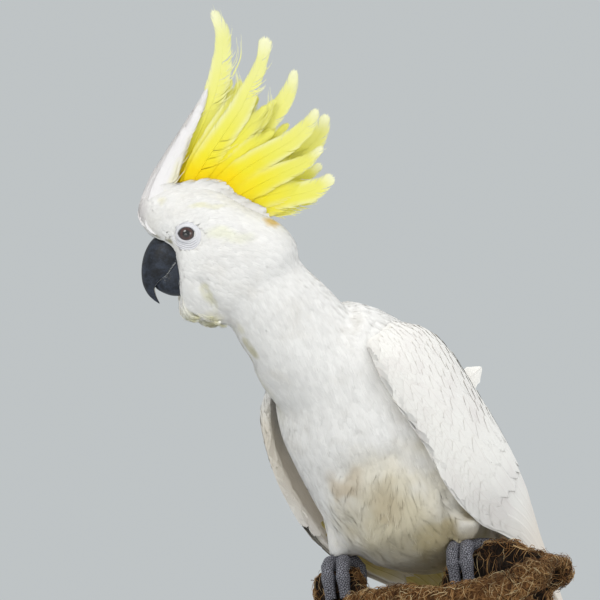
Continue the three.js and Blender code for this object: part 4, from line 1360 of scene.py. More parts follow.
# One soft plume: a shaft, and barbs that leave it on both sides and sweep forward to its edges.
# Fray gives how ragged the front and rear edges are, and wisps the share of loose rear barbs.
def plumeMesh(row, random, fray=(0.03, 0.08), wisps=0.0, pitch=1.15, reach=1.0):
    aside, spread, line, widths = row
    line = np.array([(x, 0, z) for x, z in line], float)
    length = np.linalg.norm(np.diff(line, axis=0), axis=1).sum()
    widest = max(widths)
    barbs = int(length / pitch)
    points, faces, local = [], [], []

    def place(t, outwards, lift):
        inside = np.clip(t, 0, 1)
        spine = lineThrough(line, inside)
        way = unit(lineThrough(line, inside + 0.01) - lineThrough(line, inside - 0.01))
        across = np.stack([way[..., 2], 0 * t, -way[..., 0]], axis=-1)
        spot = spine + way * ((t - inside) * length)[..., None] + across * outwards[..., None]
        bow = 1.2 * np.sin(np.pi * inside) - 0.012 * outwards**2
        leaning = aside + spread * np.clip(t, 0, 1.1) ** 2 + bow * (1 if aside + spread > 0 else -1)
        spot[..., 1] = headPlane + leaning + lift
        return spot

    steps, taper = np.array(barbShape).T
    for side, rough in zip((-1, 1), fray):
        clump, left = 0.0, 0
        for k in range(barbs):
            if left == 0:
                clump, left = random.uniform(-1.2, 0.3), random.integers(2, 8)
            left -= 1
            start = 0.01 + 0.985 * k / barbs
            sweep = (7.5 + 5 * random.random() * rough * 4 + 5 * start) / length
            end = start + sweep * (1 + rough * clump)
            late = ease(start, 0.8, 1.0)
            end = min(end, 0.985 - 0.03 * (1 - late) + 0.02 * late) + 0.004 * random.standard_normal()
            full = np.interp(end, np.linspace(0, 1, len(widths)), widths) * (1 + rough * clump)
            full *= math.sqrt(max(1 - late**2.5, 0.04))
            loose = side > 0 and random.random() < wisps
            if loose:
                full *= random.uniform(1.15, 1.6)
                end += random.uniform(0.01, 0.05)
            t = start + (end - start) * steps**1.12
            out = side * full * (1 - (1 - steps) ** 1.7)
            half = 0.62 * pitch / length * taper * (0.5 if loose else 1)
            lift = 0.05 * (k % 3) + (0.05 if not loose else 0.7) * random.standard_normal()
            lower = place(t - half, out, lift * steps - 0.08)
            upper = place(t + half, out, lift * steps + 0.08)
            base = len(points)
            for i in range(len(steps)):
                points += [lower[i], upper[i]]
                local += [(out[i] / (2 * widest) + 0.5, t[i] * reach)] * 2
            faces.append(gridFaces(len(steps), 2) + base)
    shaft = np.linspace(0, 0.95, 14)
    faces.append(gridFaces(len(shaft), len(shaftRing), True) + len(points))
    for t in shaft:
        size = 1 - 0.8 * t
        for out, lift in shaftRing:
            points.append(place(np.array([t]), np.array([out * size]), lift * size)[0])
            local.append((0.5, t * reach))
    return np.array(points), np.concatenate(faces), np.array(local)


# A shorter plume between two others, to fill the crest's base.
def fillerPlume(a, b, share, reach, aside):
    at = np.linspace(0, reach, 5)
    line = lineThrough(a[2], at) * (1 - share) + lineThrough(b[2], at) * share
    return aside, aside * 0.5, line, [6, 7.5, 7.5, 5.6, 1.6]


# Thin strands that stand a little off the plumes' rear edges.
def strandMesh(random):
    points, faces, local = [], [], []
    for root, bend, tip, count in strands:
        for _ in range(count):
            shift = random.normal(0, (1.1, 0.9))
            ends = [vec(*root) + shift * 1.5, vec(*bend) + shift, vec(*tip) + shift * (0.8 + random.random())]
            line = lineThrough(ends, np.linspace(0, random.uniform(0.6, 1.0), 7))
            way = unit(np.gradient(line, axis=0))
            aside = headPlane + random.uniform(-3, 3) + np.linspace(0, random.normal(0, 2), 7)
            base = len(points)
            for i in range(7):
                half = 0.16 * (1 - i / 7) + 0.04
                for sign in (-1, 1):
                    x, z = line[i] + sign * half * vec(-way[i][1], way[i][0])
                    points.append((x, aside[i], z))
                    local.append((0.5 + 0.4 * sign, 0.45 + 0.08 * i))
            faces.append(gridFaces(7, 2) + base)
    return np.array(points), np.concatenate(faces), np.array(local)


# A piece of soft plumes, unwrapped along their vanes unless told otherwise.
def plumePiece(name, parts, material, slot="plumage", replaces=(), unwrap=None):
    points, faces, local = joinParts(parts)
    unwrap = np.clip(local, 0, 1) if unwrap is None else unwrap
    makePiece(name, points, faces, material, slot, replaces, vane=local, OFBake=unwrap)


def crestMaterial():
    shader = Shader("crestFeather", 0.7)
    vane = shader.uv("vane")
    across, along = shader.part(vane, 0), shader.part(vane, 1)
    patchy = shader.grain(0.07, 2) - 0.5
    offset = shader.vector("SUBTRACT", shader.place, (-127, headPlane, 398))
    reach = shader.length(shader.stretch(offset, (0.85, 0.3, 1)))
    away = reach * (1 / 90) + patchy * 0.2 - along * 0.02
    shader.colour = shader.ramp(away, crestColours)
    edge = abs(across - 0.5).ease(0.18, 0.5)
    shader.layer((248, 247, 214), edge * away.ease(0.25, 0.6) * 0.55 + along.ease(0.78, 1.0) * 0.8)
    return shader.set()


def makeCrest():
    random = seeded(51)
    rows = [(row, 1.0) for row in plumes]
    for a, b in zip(plumes, plumes[1:]):
        for k in range(fillers["between"]):
            aside = random.uniform(-1, 1) * fillers["aside"]
            filler = fillerPlume(a, b, random.uniform(0.15, 0.85), random.uniform(*fillers["reach"]), aside)
            rows.append((filler, 0.62))
    parts, uvs = [], []
    for number, (row, reach) in enumerate(rows):
        wisps = looseBarbs.get(number, 0.03)
        parts.append(plumeMesh(row, random, (0.04, 0.09), wisps, reach=reach))
        along, across = parts[-1][2].T[::-1]
        cell = (number + np.clip(across, 0.05, 0.95)) / len(rows)
        uvs.append(np.stack([cell, np.clip(along, 0, 1)], axis=1))
    parts.append(strandMesh(random))
    uvs.append(np.clip(parts[-1][2], 0, 1))
    plates = [f"crest_{k}" for k in range(2, 9)]
    plumePiece("crestPlumes", parts, crestMaterial(), "crest", plates, np.concatenate(uvs))


# The white feathers of the forehead rise along the crest's front edge.
frontLine = [(-160, 384), (-158.5, 398), (-153.5, 413), (-146.5, 427.5), (-140, 440), (-133.4, 451.5),
             (-128, 461), (-124.4, 471)]
frontWidths = [8, 8.4, 7.6, 5.8, 4.2, 3.7, 3.2, 1.4]
frontCount = 26


def makeFrontCrest():
    random = seeded(52)
    shader = Shader("frontCrest", 0.78)
    across, along = (shader.part(shader.uv("vane"), axis) for axis in range(2))
    shader.colour = paint(242, 239, 238)
    shader.layer((240, 230, 130), across.ease(0.55, 0.95) * along.ease(0.05, 0.5) * 0.4)
    rows = [(0.0, 0.5, frontLine, frontWidths)]
    for k in range(frontCount):
        aside = (1 if k % 2 else -1) * (1.2 + 10.5 * (k / frontCount) ** 0.8)
        reach = 0.9 - 0.045 * abs(aside) + random.uniform(-0.05, 0.05)
        shift = vec(random.uniform(-3.5, 6) + 0.3 * abs(aside), -0.5 * abs(aside))
        at = np.linspace(0, reach, 6)
        line = lineThrough(frontLine, at) + shift * (1 - at / reach * 0.9)[:, None]
        widths = np.interp(at, np.linspace(0, 1, 8), frontWidths) * 0.8
        rows.append((aside, -aside * 0.7, line, widths))
    parts = [plumeMesh(row, random, (0.05, 0.08), 0.02, 1.3) for row in rows]
    plumePiece("crestFront", parts, shader.set(), "crest", ("crest_1",))


# White crown feathers that lie over the foot of the crest: the line (X, Z) their tips follow.
crownEdge = [(-147, 407), (-139, 408), (-128, 409.5), (-118.5, 409), (-111, 401.5), (-101, 397), (-90, 391)]
crownCount = 44


def makeCrownEdge():
    random = seeded(53)
    shader = Shader("crownFeather", 0.8)
    layPlumage(shader)
    parts = []
    for side in (-1, 1):
        for k in range(crownCount):
            x, z = lineThrough(crownEdge, (k + random.uniform(0, 1)) / crownCount)
            z += random.uniform(-2.5, 0.4)
            rise = random.uniform(2.0, 5.0)
            line = [(x - 16, z - rise - 4.5), (x - 7, z - rise * 0.4 - 1), (x, z), (x + 6, z - 0.6)]
            aside = side * random.uniform(4.5, 8.5)
            row = (aside, -side * 1.5, line, [3, 5, 5.2, 3.4])
            parts.append(plumeMesh(row, random, (0.05, 0.05), 0.02, 0.85))
    plumePiece("crownFeathers", parts, shader.set())


makeCrest()
makeFrontCrest()
makeCrownEdge()
report("crest")


# Skins rings of points, closed round and at both ends, with faces turned outwards.
def loft(rings):
    rings = np.asarray(rings, float)
    rows, columns = rings.shape[:2]
    around = np.arange(columns)
    last = around + (rows - 1) * columns
    middle = np.full(columns, rows * columns)
    faces = np.concatenate([
        gridFaces(rows, columns, True),
        np.stack([middle, np.roll(around, -1), around], axis=1),
        np.stack([middle + 1, last, np.roll(last, -1)], axis=1),
    ])
    points = np.concatenate([rings.reshape(-1, 3), [rings[0].mean(axis=0), rings[-1].mean(axis=0)]])
    corners = points[faces]
    volume = np.sum(corners[:, 0] * np.cross(corners[:, 1], corners[:, 2]))
    return points, faces[:, ::-1] if volume < 0 else faces


# Two values for each point of a loft: its share along, and its share round.
def loftUv(rows, columns, around=None):
    around = np.linspace(0, 1, columns) if around is None else around
    along = np.linspace(0, 1, rows)
    grid = np.stack(np.meshgrid(along, around, indexing="ij"), axis=-1).reshape(-1, 2)
    return np.concatenate([grid, [[0, 0.5], [1, 0.5]]])


# Rows run from the face to the tip: ridge X and Z, cutting edge X and Z, half width.
upperBill = [
    [-150.5, 381, -136.5, 367, 8.2],
    [-158.4, 376, -139.8, 364.4, 10.2],
    [-162.8, 369.6, -143.2, 361.4, 10.8],
    [-165.2, 362.2, -146.2, 357.6, 10.3],
    [-165.9, 354.6, -149.6, 353, 8.9],
    [-165.0, 347.4, -154, 349.6, 6.9],
    [-162.2, 341.4, -157.2, 345.4, 4.5],
    [-158.6, 337.6, -156.6, 340.4, 2.3],
    [-154.6, 334.8, -154.3, 335.3, 0.4],
]
lowerBill = [
    [-134, 368, -136, 340.8, 9.0],
    [-140, 365, -141.5, 339.8, 9.7],
    [-145.5, 360, -146.8, 340, 9.2],
    [-150.5, 354.6, -151.6, 341.6, 7.8],
    [-154.8, 351, -155.6, 343.8, 5.2],
    [-157.2, 348.6, -157.9, 346.4, 2.2],
]
# Sections: share of the half width, and rise from -1 at the edge to 1 at the ridge.
upperSection = [
    (0, 1), (0.13, 0.985), (0.3, 0.93), (0.52, 0.8), (0.74, 0.58), (0.9, 0.28), (0.98, -0.1), (1, -0.45),
    (0.985, -0.75), (0.955, -0.94), (0.925, -1.0), (0.87, -0.985), (0.6, -0.86), (0.3, -0.78), (0, -0.75),
]
lowerSection = [
    (0, 1), (0.2, 0.985), (0.45, 0.92), (0.7, 0.76), (0.88, 0.5), (0.97, 0.15), (1, -0.25), (0.985, -0.7),
    (0.96, -0.93), (0.9, -1.0), (0.8, -0.98), (0.5, -0.8), (0.25, -0.7), (0, -0.66),
]
billSteps = {"along": 84, "round": 30}


def billShape(rows, section, turned):
    values = lineThrough(rows, np.linspace(0, 1, billSteps["along"]))
    half = lineThrough(section, np.linspace(0, 1, billSteps["round"]))
    both = np.concatenate([half, half[-2:0:-1] * (-1, 1)])
    ridge, edge = (np.insert(values[:, k : k + 2], 1, headPlane, axis=1) for k in (0, 2))
    if turned:
        ridge, edge = edge, ridge
    middle, up = (ridge + edge) / 2, (ridge - edge) / 2
    rings = middle[:, None] + up[:, None] * both[None, :, 1:]
    rings[:, :, 1] += values[:, 4:5] * both[None, :, 0]
    points, faces = loft(rings)
    down = (1 - both[:, 1]) / 2
    inside = np.arange(len(both)) % (len(both) - 1)
    horn = loftUv(len(values), len(both), np.where(np.abs(inside - len(half)) < 8, 1.0, down))
    if turned:
        horn[:, 1] = 1 - horn[:, 1]
    return points, faces, horn, loftUv(len(values), len(both))


def billMaterial(name, isUpper):
    shader = Shader(name, 0.5, 0.4)
    place, horn = shader.place, shader.uv("horn")
    along, down = shader.part(horn, 0), shader.part(horn, 1)
    cloud, fine = shader.grain(0.2, 5, 0.62), shader.grain(1.6, 4, 0.65)
    scratch = shader.grain((0.9, 0.9, 1.4), 6, 0.7)
    growth = shader.noise(shader.combine(along * 46, down * 5, cloud * 2), 1.0, 3)
    shader.colour = paint(16, 19, 25)
    shader.layer((48, 55, 68), cloud.ease(0.32, 0.7))
    shader.layer((84, 92, 106), fine.ease(0.5, 0.75) * cloud.ease(0.4, 0.65) * 0.5)
    shader.layer((14, 15, 17), growth.ease(0.55, 0.72) * 0.6)
    if isUpper:
        shader.layer((13, 14, 16), shader.spot(place, (-157, headPlane, 355), (7, 22, 5)) * 0.75)
        # Painted shade: dark olive at the foot of the upper bill, under the forehead feathers.
        shader.layer((46, 44, 26), shader.spot(place, (-151, headPlane, 378), (12, 20, 6.5)) * 0.9)
        tip = down.ease(0.86, 0.99) * along.ease(0.72, 0.8) * 0.9
        shader.layer((190, 192, 190), down.ease(0.93, 0.995) * scratch.ease(0.42, 0.58) * 0.85)
        shader.layer((196, 190, 172), tip * scratch.ease(0.35, 0.5))
    else:
        worn = shader.spot(place, (-151, headPlane, 352), (6, 22, 5)) * scratch.ease(0.5, 0.62)
        shader.layer((150, 152, 152), worn * 0.75)
        shader.layer((12, 13, 15), shader.spot(place, (-143, headPlane, 339), (14, 12, 4)) * 0.6)
    height = growth * 0.6 + fine * 0.25 + scratch * 0.4
    return shader.set(Roughness=cloud * 0.35 + 0.3, Normal=shader.bump(height, 0.22))


def makeBill():
    halves = (("Upper", upperBill, upperSection, False), ("Lower", lowerBill, lowerSection, True))
    for half, rows, section, turned in halves:
        points, faces, horn, unwrap = billShape(rows, section, turned)
        material = billMaterial(f"bill{half}Horn", not turned)
        node = f"bill_{half.lower()}"
        makePiece("bill" + half, points, faces, material, "bill", (node,), horn=horn, OFBake=unwrap)


pupil = {"radius": 1.9, "iris": 4.4, "bulge": 0.35, "rings": 48, "sides": 72}
# Lids: half sizes of the opening, radius out to the feathers, thickness, then the folds of bare skin.
lids = {"open": (5.1, 4.1), "outer": 9.9, "shell": 0.75, "fold": 0.16, "pitch": 1.2, "rows": 44, "sides": 120}


def eyeMaterial(side):
    shader = Shader("eyeball_" + side, 0.12, 0.55, Coat_Weight=1.0, Coat_Roughness=0.03)
    offset = shader.vector("SUBTRACT", shader.place, tuple(boxMiddle("eye_" + side)))
    flat = shader.stretch(offset, (1, 0, 1))
    rays = shader.noise(shader.vector("NORMALIZE", flat), 9.0, 3)
    share = shader.length(flat) / eyeRadius + (rays - 0.5) * 0.03
    inner, outer = pupil["radius"] / eyeRadius, pupil["iris"] / eyeRadius
    shader.colour = shader.ramp(share, [
        (0.0, (5, 4, 4)),
        (inner, (7, 5, 5)),
        (inner + 0.05, (40, 20, 15)),
        ((inner + outer) / 2, (74, 38, 29)),
        (outer - 0.08, (56, 27, 21)),
        (outer, (16, 9, 8)),
        (0.86, (40, 26, 22)),
    ])
    shader.layer((30, 14, 10), rays.ease(0.5, 0.8) * 0.45)
    return shader.set()


def makeEye(side):
    middle = boxMiddle("eye_" + side)
    facing = np.sign(middle[1] - headPlane)
    points, faces = ball(0, eyeRadius, pupil["rings"], pupil["sides"])
    points = points[:, [0, 2, 1]] * (1, facing, 1)
    across = np.hypot(points[:, 0], points[:, 2])
    front = np.where(points[:, 1] * facing > 0, 1 - ease(across, 2.2, 5.2), 0)
    points[:, 1] += facing * pupil["bulge"] * front
    faces = faces[:, :: -int(facing)]
    unwrap = points[:, [0, 2]] / (2.2 * eyeRadius) + 0.5
    node = "eye_" + side
    makePiece("eyeball_" + side, points + middle, faces, eyeMaterial(side), "eye", (node,), OFBake=unwrap)


# The bare skin round an eye: two lid margins, then ring-shaped folds out to the feathers.
def makeLids(side, skinSurface, material):
    random = seeded(61)
    middle = boxMiddle("eye_" + side)
    facing = np.sign(middle[1] - headPlane)
    turns = np.linspace(0, 2 * np.pi, lids["sides"], endpoint=False)
    shares = np.linspace(0, 1, lids["rows"]) ** 1.2
    ring = circle(lids["sides"])
    corner = 0.5 * np.exp(-((np.sin(turns) / 0.25) ** 2))
    inner = ring * lids["open"] * (1 + 0.1 * corner[:, None])
    outer = ring * lids["outer"] - (0, eyeRing["drop"])
    flat = inner + (outer - inner) * shares[:, None, None]
    away = np.linalg.norm(flat - inner, axis=2)
    radius = np.linalg.norm(flat, axis=2)
    out = abs(middle[1] - headPlane)
    ballHeight = out + np.sqrt(np.maximum(eyeRadius**2 - radius**2, 0.01))
    shell = out + np.sqrt(np.maximum((eyeRadius + lids["shell"]) ** 2 - radius**2, 0.01))
    aim = (0, -facing, 0)
    skinHeight = np.empty_like(radius)
    for k in np.ndindex(radius.shape):
        start = (middle[0] + flat[k][0], headPlane + facing * 80, middle[2] + flat[k][1])
        hit = skinSurface.tree.ray_cast(start, aim)[0]
        skinHeight[k] = abs(hit[1] - headPlane)
    skinHeight += 0.35 - 1.1 * ease(shares, 0.86, 1)[:, None]
    raised = (shell + skinHeight + np.sqrt((shell - skinHeight) ** 2 + 0.8)) / 2
    raised = np.where(shares[:, None] > 0.8, np.minimum(raised, skinHeight + 0.5), raised)
    lip = ease(away, 0, 0.75)
    height = (ballHeight + 0.02) * (1 - lip) + raised * lip
    wander = 0.3 * np.sin(2 * turns + 1.0) + 0.22 * np.sin(3 * turns) + 0.14 * np.sin(7 * turns + 2)
    wander = wander + 0.12 * random.standard_normal(len(turns)) + 0.09 * away * np.sin(2 * turns + 0.6)
    lower = 0.2 + 0.8 * ease(-np.sin(turns), 0.0, 0.8) + 0.3 * ease(np.sin(turns), 0.6, 1)
    wave = np.sin(2 * np.pi * (away + wander) / lids["pitch"] + 0.6)
    window = ease(away, 0.7, 1.4) * (1 - ease(shares, 0.72, 0.9))[:, None]
    height += lids["fold"] * wave * window * lower
    x, z = middle[0] + flat[:, :, 0], middle[2] + flat[:, :, 1]
    points = np.stack([x, headPlane + facing * height, z], axis=-1).reshape(-1, 3)
    faces = gridFaces(*radius.shape, True)[:, :: -int(facing)]
    unwrap = flat.reshape(-1, 2) / (2.4 * lids["outer"]) + 0.5
    # The tone is low in the valleys of the folds, as painted shade in these creases, and low next to the
    # opening.
    tone = (0.5 + 0.5 * wave * window * lower) * (0.2 + 0.8 * ease(away, 0.05, 0.5))
    makePiece("lids_" + side, points, faces, material, "plumage", tone=tone.ravel(), OFBake=unwrap)


def lidMaterial():
    shader = Shader("lidSkin", 0.55, 0.35)
    grain = shader.noise(shader.place, 1.6, 3)
    shader.colour = paint(160, 158, 162)
    # Lighter where the tone is high, so the folds' valleys stay darker as painted shade.
    shader.layer((228, 227, 229), shader.tone().ease(-0.1, 0.5))
    shader.layer((214, 216, 223), grain.ease(0.45, 0.75) * 0.6)
    return shader.set(Normal=shader.bump(grain, 0.1))


makeBill()
lidSkin = lidMaterial()
for eyeSide in sides:
    makeEye(eyeSide)
    makeLids(eyeSide, skinSurface, lidSkin)
report("bill, eyes and lids")


# Lines (X, Z) of the curled feathers under the chin, and how many of each.
chinCurls = [
    ([(-140, 336), (-138.5, 329.5), (-134, 325.2), (-129.5, 324.6), (-127.6, 326.6)], 12),
    ([(-133, 334), (-129.5, 328), (-125, 324), (-120.6, 323), (-118, 325.2), (-118.6, 327)], 14),
    ([(-124, 333), (-121, 327.5), (-116.5, 323.8), (-112.5, 324.6)], 9),
    ([(-139, 344), (-138, 335), (-134.5, 329), (-129, 327)], 12),
]


def makeChin():
    random = seeded(71)
    shader = Shader("chinFeather", 0.8)
    shader.colour = shader.ramp(shader.part(shader.uv("vane"), 1), [
        (0.0, plumageWhite), (0.5, (238, 236, 220)), (0.75, (228, 224, 190)), (1.0, (246, 245, 238)),
    ])
    parts = []
    for line, count in chinCurls:
        for k in range(count):
            aside = (k - (count - 1) / 2) * 22 / count + random.normal(0, 0.6)
            shift = random.normal(0, 1.3, 2) + (0, 0.014 * aside**2)
            curled = lineThrough(line, np.linspace(0, random.uniform(0.7, 1.0), 5))
            curled = curled + shift * np.linspace(1, 1.5, 5)[:, None]
            row = (aside, random.normal(0, 2.0), curled, [1.6, 2.6, 2.4, 1.8, 0.8])
            parts.append(plumeMesh(row, random, (0.16, 0.2), 0.1, 0.6))
    plumePiece("chinCurls", parts, shader.set())


backFeather = {"root": (35.5, -6, 280.5), "tip": (50.5, 1.5, 294), "half": 7.2, "rise": 1.6, "thick": 0.35}


# The feather that stands up from the back, as two layers.
def makeBackFeather():
    along, across, _, faces = quillGrid(22, 0.35, 0.35)
    t, u = along[:, None, None], across[None, :, None]
    root, tip = vec(*backFeather["root"]), vec(*backFeather["tip"])
    aside = unit(vec(-0.62, 0.1, 0.72))
    facing = np.cross(unit(tip - root), aside)
    reach = backFeather["half"] * np.sqrt(np.sin(np.pi * (0.14 + 0.8 * t))) * u
    reach = reach * (1 - 0.05 * np.sin(23 * t) * (np.abs(u) > 0.9))
    rise = backFeather["rise"] * np.sin(np.pi * t) + 0.8 * (1 - u * u) + 0.35 * np.exp(-((u / 0.05) ** 2))
    outer = (root + (tip - root) * (t - 0.14 * u * u * t) + aside * reach + facing * rise).reshape(-1, 3)
    inner = outer - facing * backFeather["thick"]
    points, allFaces = joinParts([(outer, faces[:, ::-1]), (inner, faces)])
    local = np.stack(np.broadcast_arrays(u[..., 0] / 2 + 0.5, t[..., 0]), axis=-1).reshape(-1, 2)
    left = local * (0.48, 1)
    layers = {"vane": np.tile(local, (2, 1)), "OFBake": np.concatenate([left, left + (0.5, 0)])}
    tone = np.full(len(points), 0.6)
    material = wingShader("backFeather")
    makePiece("raisedFeather", points, allFaces, material, "wing", ("back_feather",), tone=tone, **layers)


# The stem's own axes run along it, to its back and up.
stem = {"middle": vec(0, -42, 142.6), "turn": -20, "tilt": -7.2}
angles = (math.radians(stem["turn"]), math.radians(stem["tilt"]))
(cosTurn, cosTilt), (sinTurn, sinTilt) = (tuple(map(wave, angles)) for wave in (math.cos, math.sin))
stemAxes = np.array([
    [cosTurn * cosTilt, sinTurn * cosTilt, -sinTilt],
    [-sinTurn, cosTurn, 0],
    [cosTurn * sinTilt, sinTurn * sinTilt, cosTilt],
])
feet = {
    "left": {"along": 36.5, "toes": (34, 43), "hind": (-8, 21)},
    "right": {"along": -46, "toes": (-51, -41), "hind": (-10, 9)},
}
footSkin = {"voxel": 0.42, "smoothing": 5, "granule": 1.1, "rise": 0.36, "pads": (4.5, 4.5, 4.3)}
clawShape = {"root": 2.6, "tip": 0.25, "steps": 26, "sides": 18, "flat": (0.82, 1.08)}
clawLine = [(6, -0.6), (11, 0.9), (13.6, 3.4)]


def onStem(points):
    return stem["middle"] + np.asarray(points, float) @ stemAxes


def toeLines(foot):
    along = foot["along"]
    lines = []
    for at in foot["toes"]:
        first = along + (at - along) * 0.55
        lines.append(([(first, 20, 32.6), (at, 13.5, 33), (at, 9.2, 27.5), (at, 8.9, 19), (at, 9.4, 10)], 1))
    for spread in foot["hind"]:
        wide = along + spread
        start, bend = along + 0.3 * spread, along + 0.7 * spread
        lines.append(([(start, 21.5, 32.6), (bend, 26.5, 33), (wide, 31, 27), (wide, 31.2, 17)], -1))
    return [(onStem(points), lean) for points, lean in lines]


def footMaterial():
    shader = Shader("footScale", 0.62, 0.4)
    grain = shader.noise(shader.place, 1.4, 3)
    shader.colour = shader.ramp(shader.tone(), [
        (0.0, (27, 27, 31)), (0.35, (54, 54, 60)), (0.7, (94, 94, 102)), (1.0, (146, 146, 154)),
    ])
    shader.layer((96, 84, 80), grain.ease(0.5, 0.8) * 0.4)
    return shader.set(Normal=shader.bump(grain, 0.08))


def makeFoot(side, material, clawHorn):
    random = seeded(81)
    nodes = [f"foot_{side}"] + [f"toe_{side}_{k}" for k in range(1, 5)]
    lines = toeLines(feet[side])
    shapes = [nodeShape(name) for name in nodes]
    for line, _ in lines:
        for share in (0.0, 0.1, 0.2):
            shapes.append(ball(lineThrough(line, share), footSkin["pads"]))
    points, faces = remesh(shapes, footSkin["voxel"], footSkin["smoothing"])
    bare = Surface(points, faces)
    everywhere = np.ones(len(faces))
    centres, _ = bare.scatter(lambda _: everywhere * footSkin["granule"], lambda _: everywhere > 0, 82)
    tree = placeTree(centres)
    near = np.array([[found[2] for found in tree.find_n(p, 2)] for p in points.tolist()])
    gapShare = np.clip((near[:, 1] - near[:, 0]) / footSkin["granule"] * 1.7, 0, 1)
    tone = ease(gapShare, 0.05, 0.75)
    points = points + bare.normals * ((tone - 0.5) * footSkin["rise"])[:, None]
    low, high = points.min(axis=0), points.max(axis=0)
    x, y, z = ((points - low) / (high - low)).T
    shade = np.clip(tone * (0.85 + 0.3 * random.random(len(tone))), 0, 1)
    unwrap = np.stack([x, (y + z) / 2], axis=1)
    makePiece(f"footSkin_{side}", points, faces, material, "foot", nodes, tone=shade, OFBake=unwrap)
    parts, uvs = [], []
    for line, lean in lines:
        end = lineThrough(line, 0.97)
        way = unit(line[-1] - lineThrough(line, 0.95))
        hook = stemAxes[1] * lean
        path = [end - way * 2.5, end]
        path += [end + way * onwards + hook * inwards for onwards, inwards in clawLine]
        t = np.linspace(0, 1, clawShape["steps"])
        spine = lineThrough(path, t)
        run = unit(np.gradient(spine, axis=0))
        aside = unit(np.cross(run, hook))
        upward = np.cross(aside, run)
        radius = (clawShape["root"] + (clawShape["tip"] - clawShape["root"]) * t**1.3)[:, None, None]
        x, y = (circle(clawShape["sides"]) * clawShape["flat"]).T[:, None, :, None]
        ring = aside[:, None] * x + upward[:, None] * y
        parts.append(loft(spine[:, None] + ring * radius))
        uvs.append(loftUv(clawShape["steps"], clawShape["sides"]))
    claws = [f"claw_{side}_{k}" for k in range(1, 5)]
    unwrap = np.concatenate([uv * (0.24, 1) + (0.25 * k, 0) for k, uv in enumerate(uvs)])
    makePiece(f"clawHorn_{side}", *joinParts(parts), clawHorn, "claw", claws, OFBake=unwrap)


def clawMaterial():
    shader = Shader("clawHorn", 0.35, 0.5)
    grain = shader.grain((0.8, 0.8, 0.25))
    shader.colour = paint(22, 22, 25)
    shader.layer((66, 64, 66), grain.ease(0.4, 0.75))
    return shader.set(Normal=shader.bump(grain, 0.1))


stemBody = {"voxel": 1.5, "smoothing": 4, "rough": 1.5, "leanFrom": 78, "lean": 0.5, "lip": (3.8, 3.8, 2.8)}
# The stem's broken end closes over the top in an arch: along, back, up.
stemArch = [(99, 21, 8), (101, 16, 14), (103, 6, 17), (103, -6, 16), (102, -15, 14), (99, -21, 8)]
# Fibres: how many, length, width, how they lie (along, down, random), lift, and where.
fibreKinds = [
    ("wall", 2100, (9, 24), 0.34, (0.15, -1.0, 0.55), 0.9),
    ("wall", 900, (10, 26), 0.28, (1.0, -0.1, 0.5), 1.1),
    ("tangle", 1500, (6, 16), 0.26, (0.3, 0.2, 1.4), 1.9),
    ("rim", 1700, (4, 12), 0.24, (0.5, 0.7, 1.1), 2.6),
    ("end", 320, (6, 14), 0.2, (1.2, 0.1, 0.9), 3.0),
    ("inside", 420, (8, 20), 0.26, (0.1, -1.0, 0.25), 0.5),
]
fibreTaper = np.array([0.7, 1, 1, 0.95, 0.85, 0.6, 0.15])
fibreCorners = (0.5, 2.6, 4.7)  # of a fibre's three-sided section, in radians
looseFibres = 0.3  # the share of fibres whose ends stand free


def stemPlace(points):
    return (points - stem["middle"]) @ stemAxes.T


def roughStem():
    shapes = [nodeShape("perch")]
    for share in np.linspace(0, 1, 15):
        shapes.append(ball(onStem(lineThrough(stemArch, share)), stemBody["lip"]))
    points, faces = remesh(shapes, stemBody["voxel"], stemBody["smoothing"])
    place = stemPlace(points)
    past = np.maximum(place[:, 0] - stemBody["leanFrom"], 0)
    lean = past * stemBody["lean"] * (1 - ease(place[:, 2], -4, 7))
    points = points - stemAxes[0] * lean[:, None]
    smooth = Surface(points, faces)
    heights = []
    for p in points.tolist():
        broad = noise.fractal(Vector(p) * 0.11, 0.9, 2.1, 4)
        ridges = noise.fractal(Vector((p[0] * 0.5, p[1] * 0.5, p[2] * 0.12)), 0.8, 2.0, 3)
        heights.append(0.9 * broad + 0.55 * ridges)
    points = points + smooth.normals * (np.array(heights) * stemBody["rough"])[:, None]
    return Surface(points, faces)


def insideStem(points, normals):
    place = stemPlace(points)
    upward = np.maximum(2 - place[:, 2], 0)
    toMiddle = np.stack([0 * place[:, 0], -place[:, 1], upward], axis=1) @ stemAxes
    return (dot(unit(toMiddle), normals)[:, 0] > 0.3) & (np.abs(place[:, 1]) < 19)


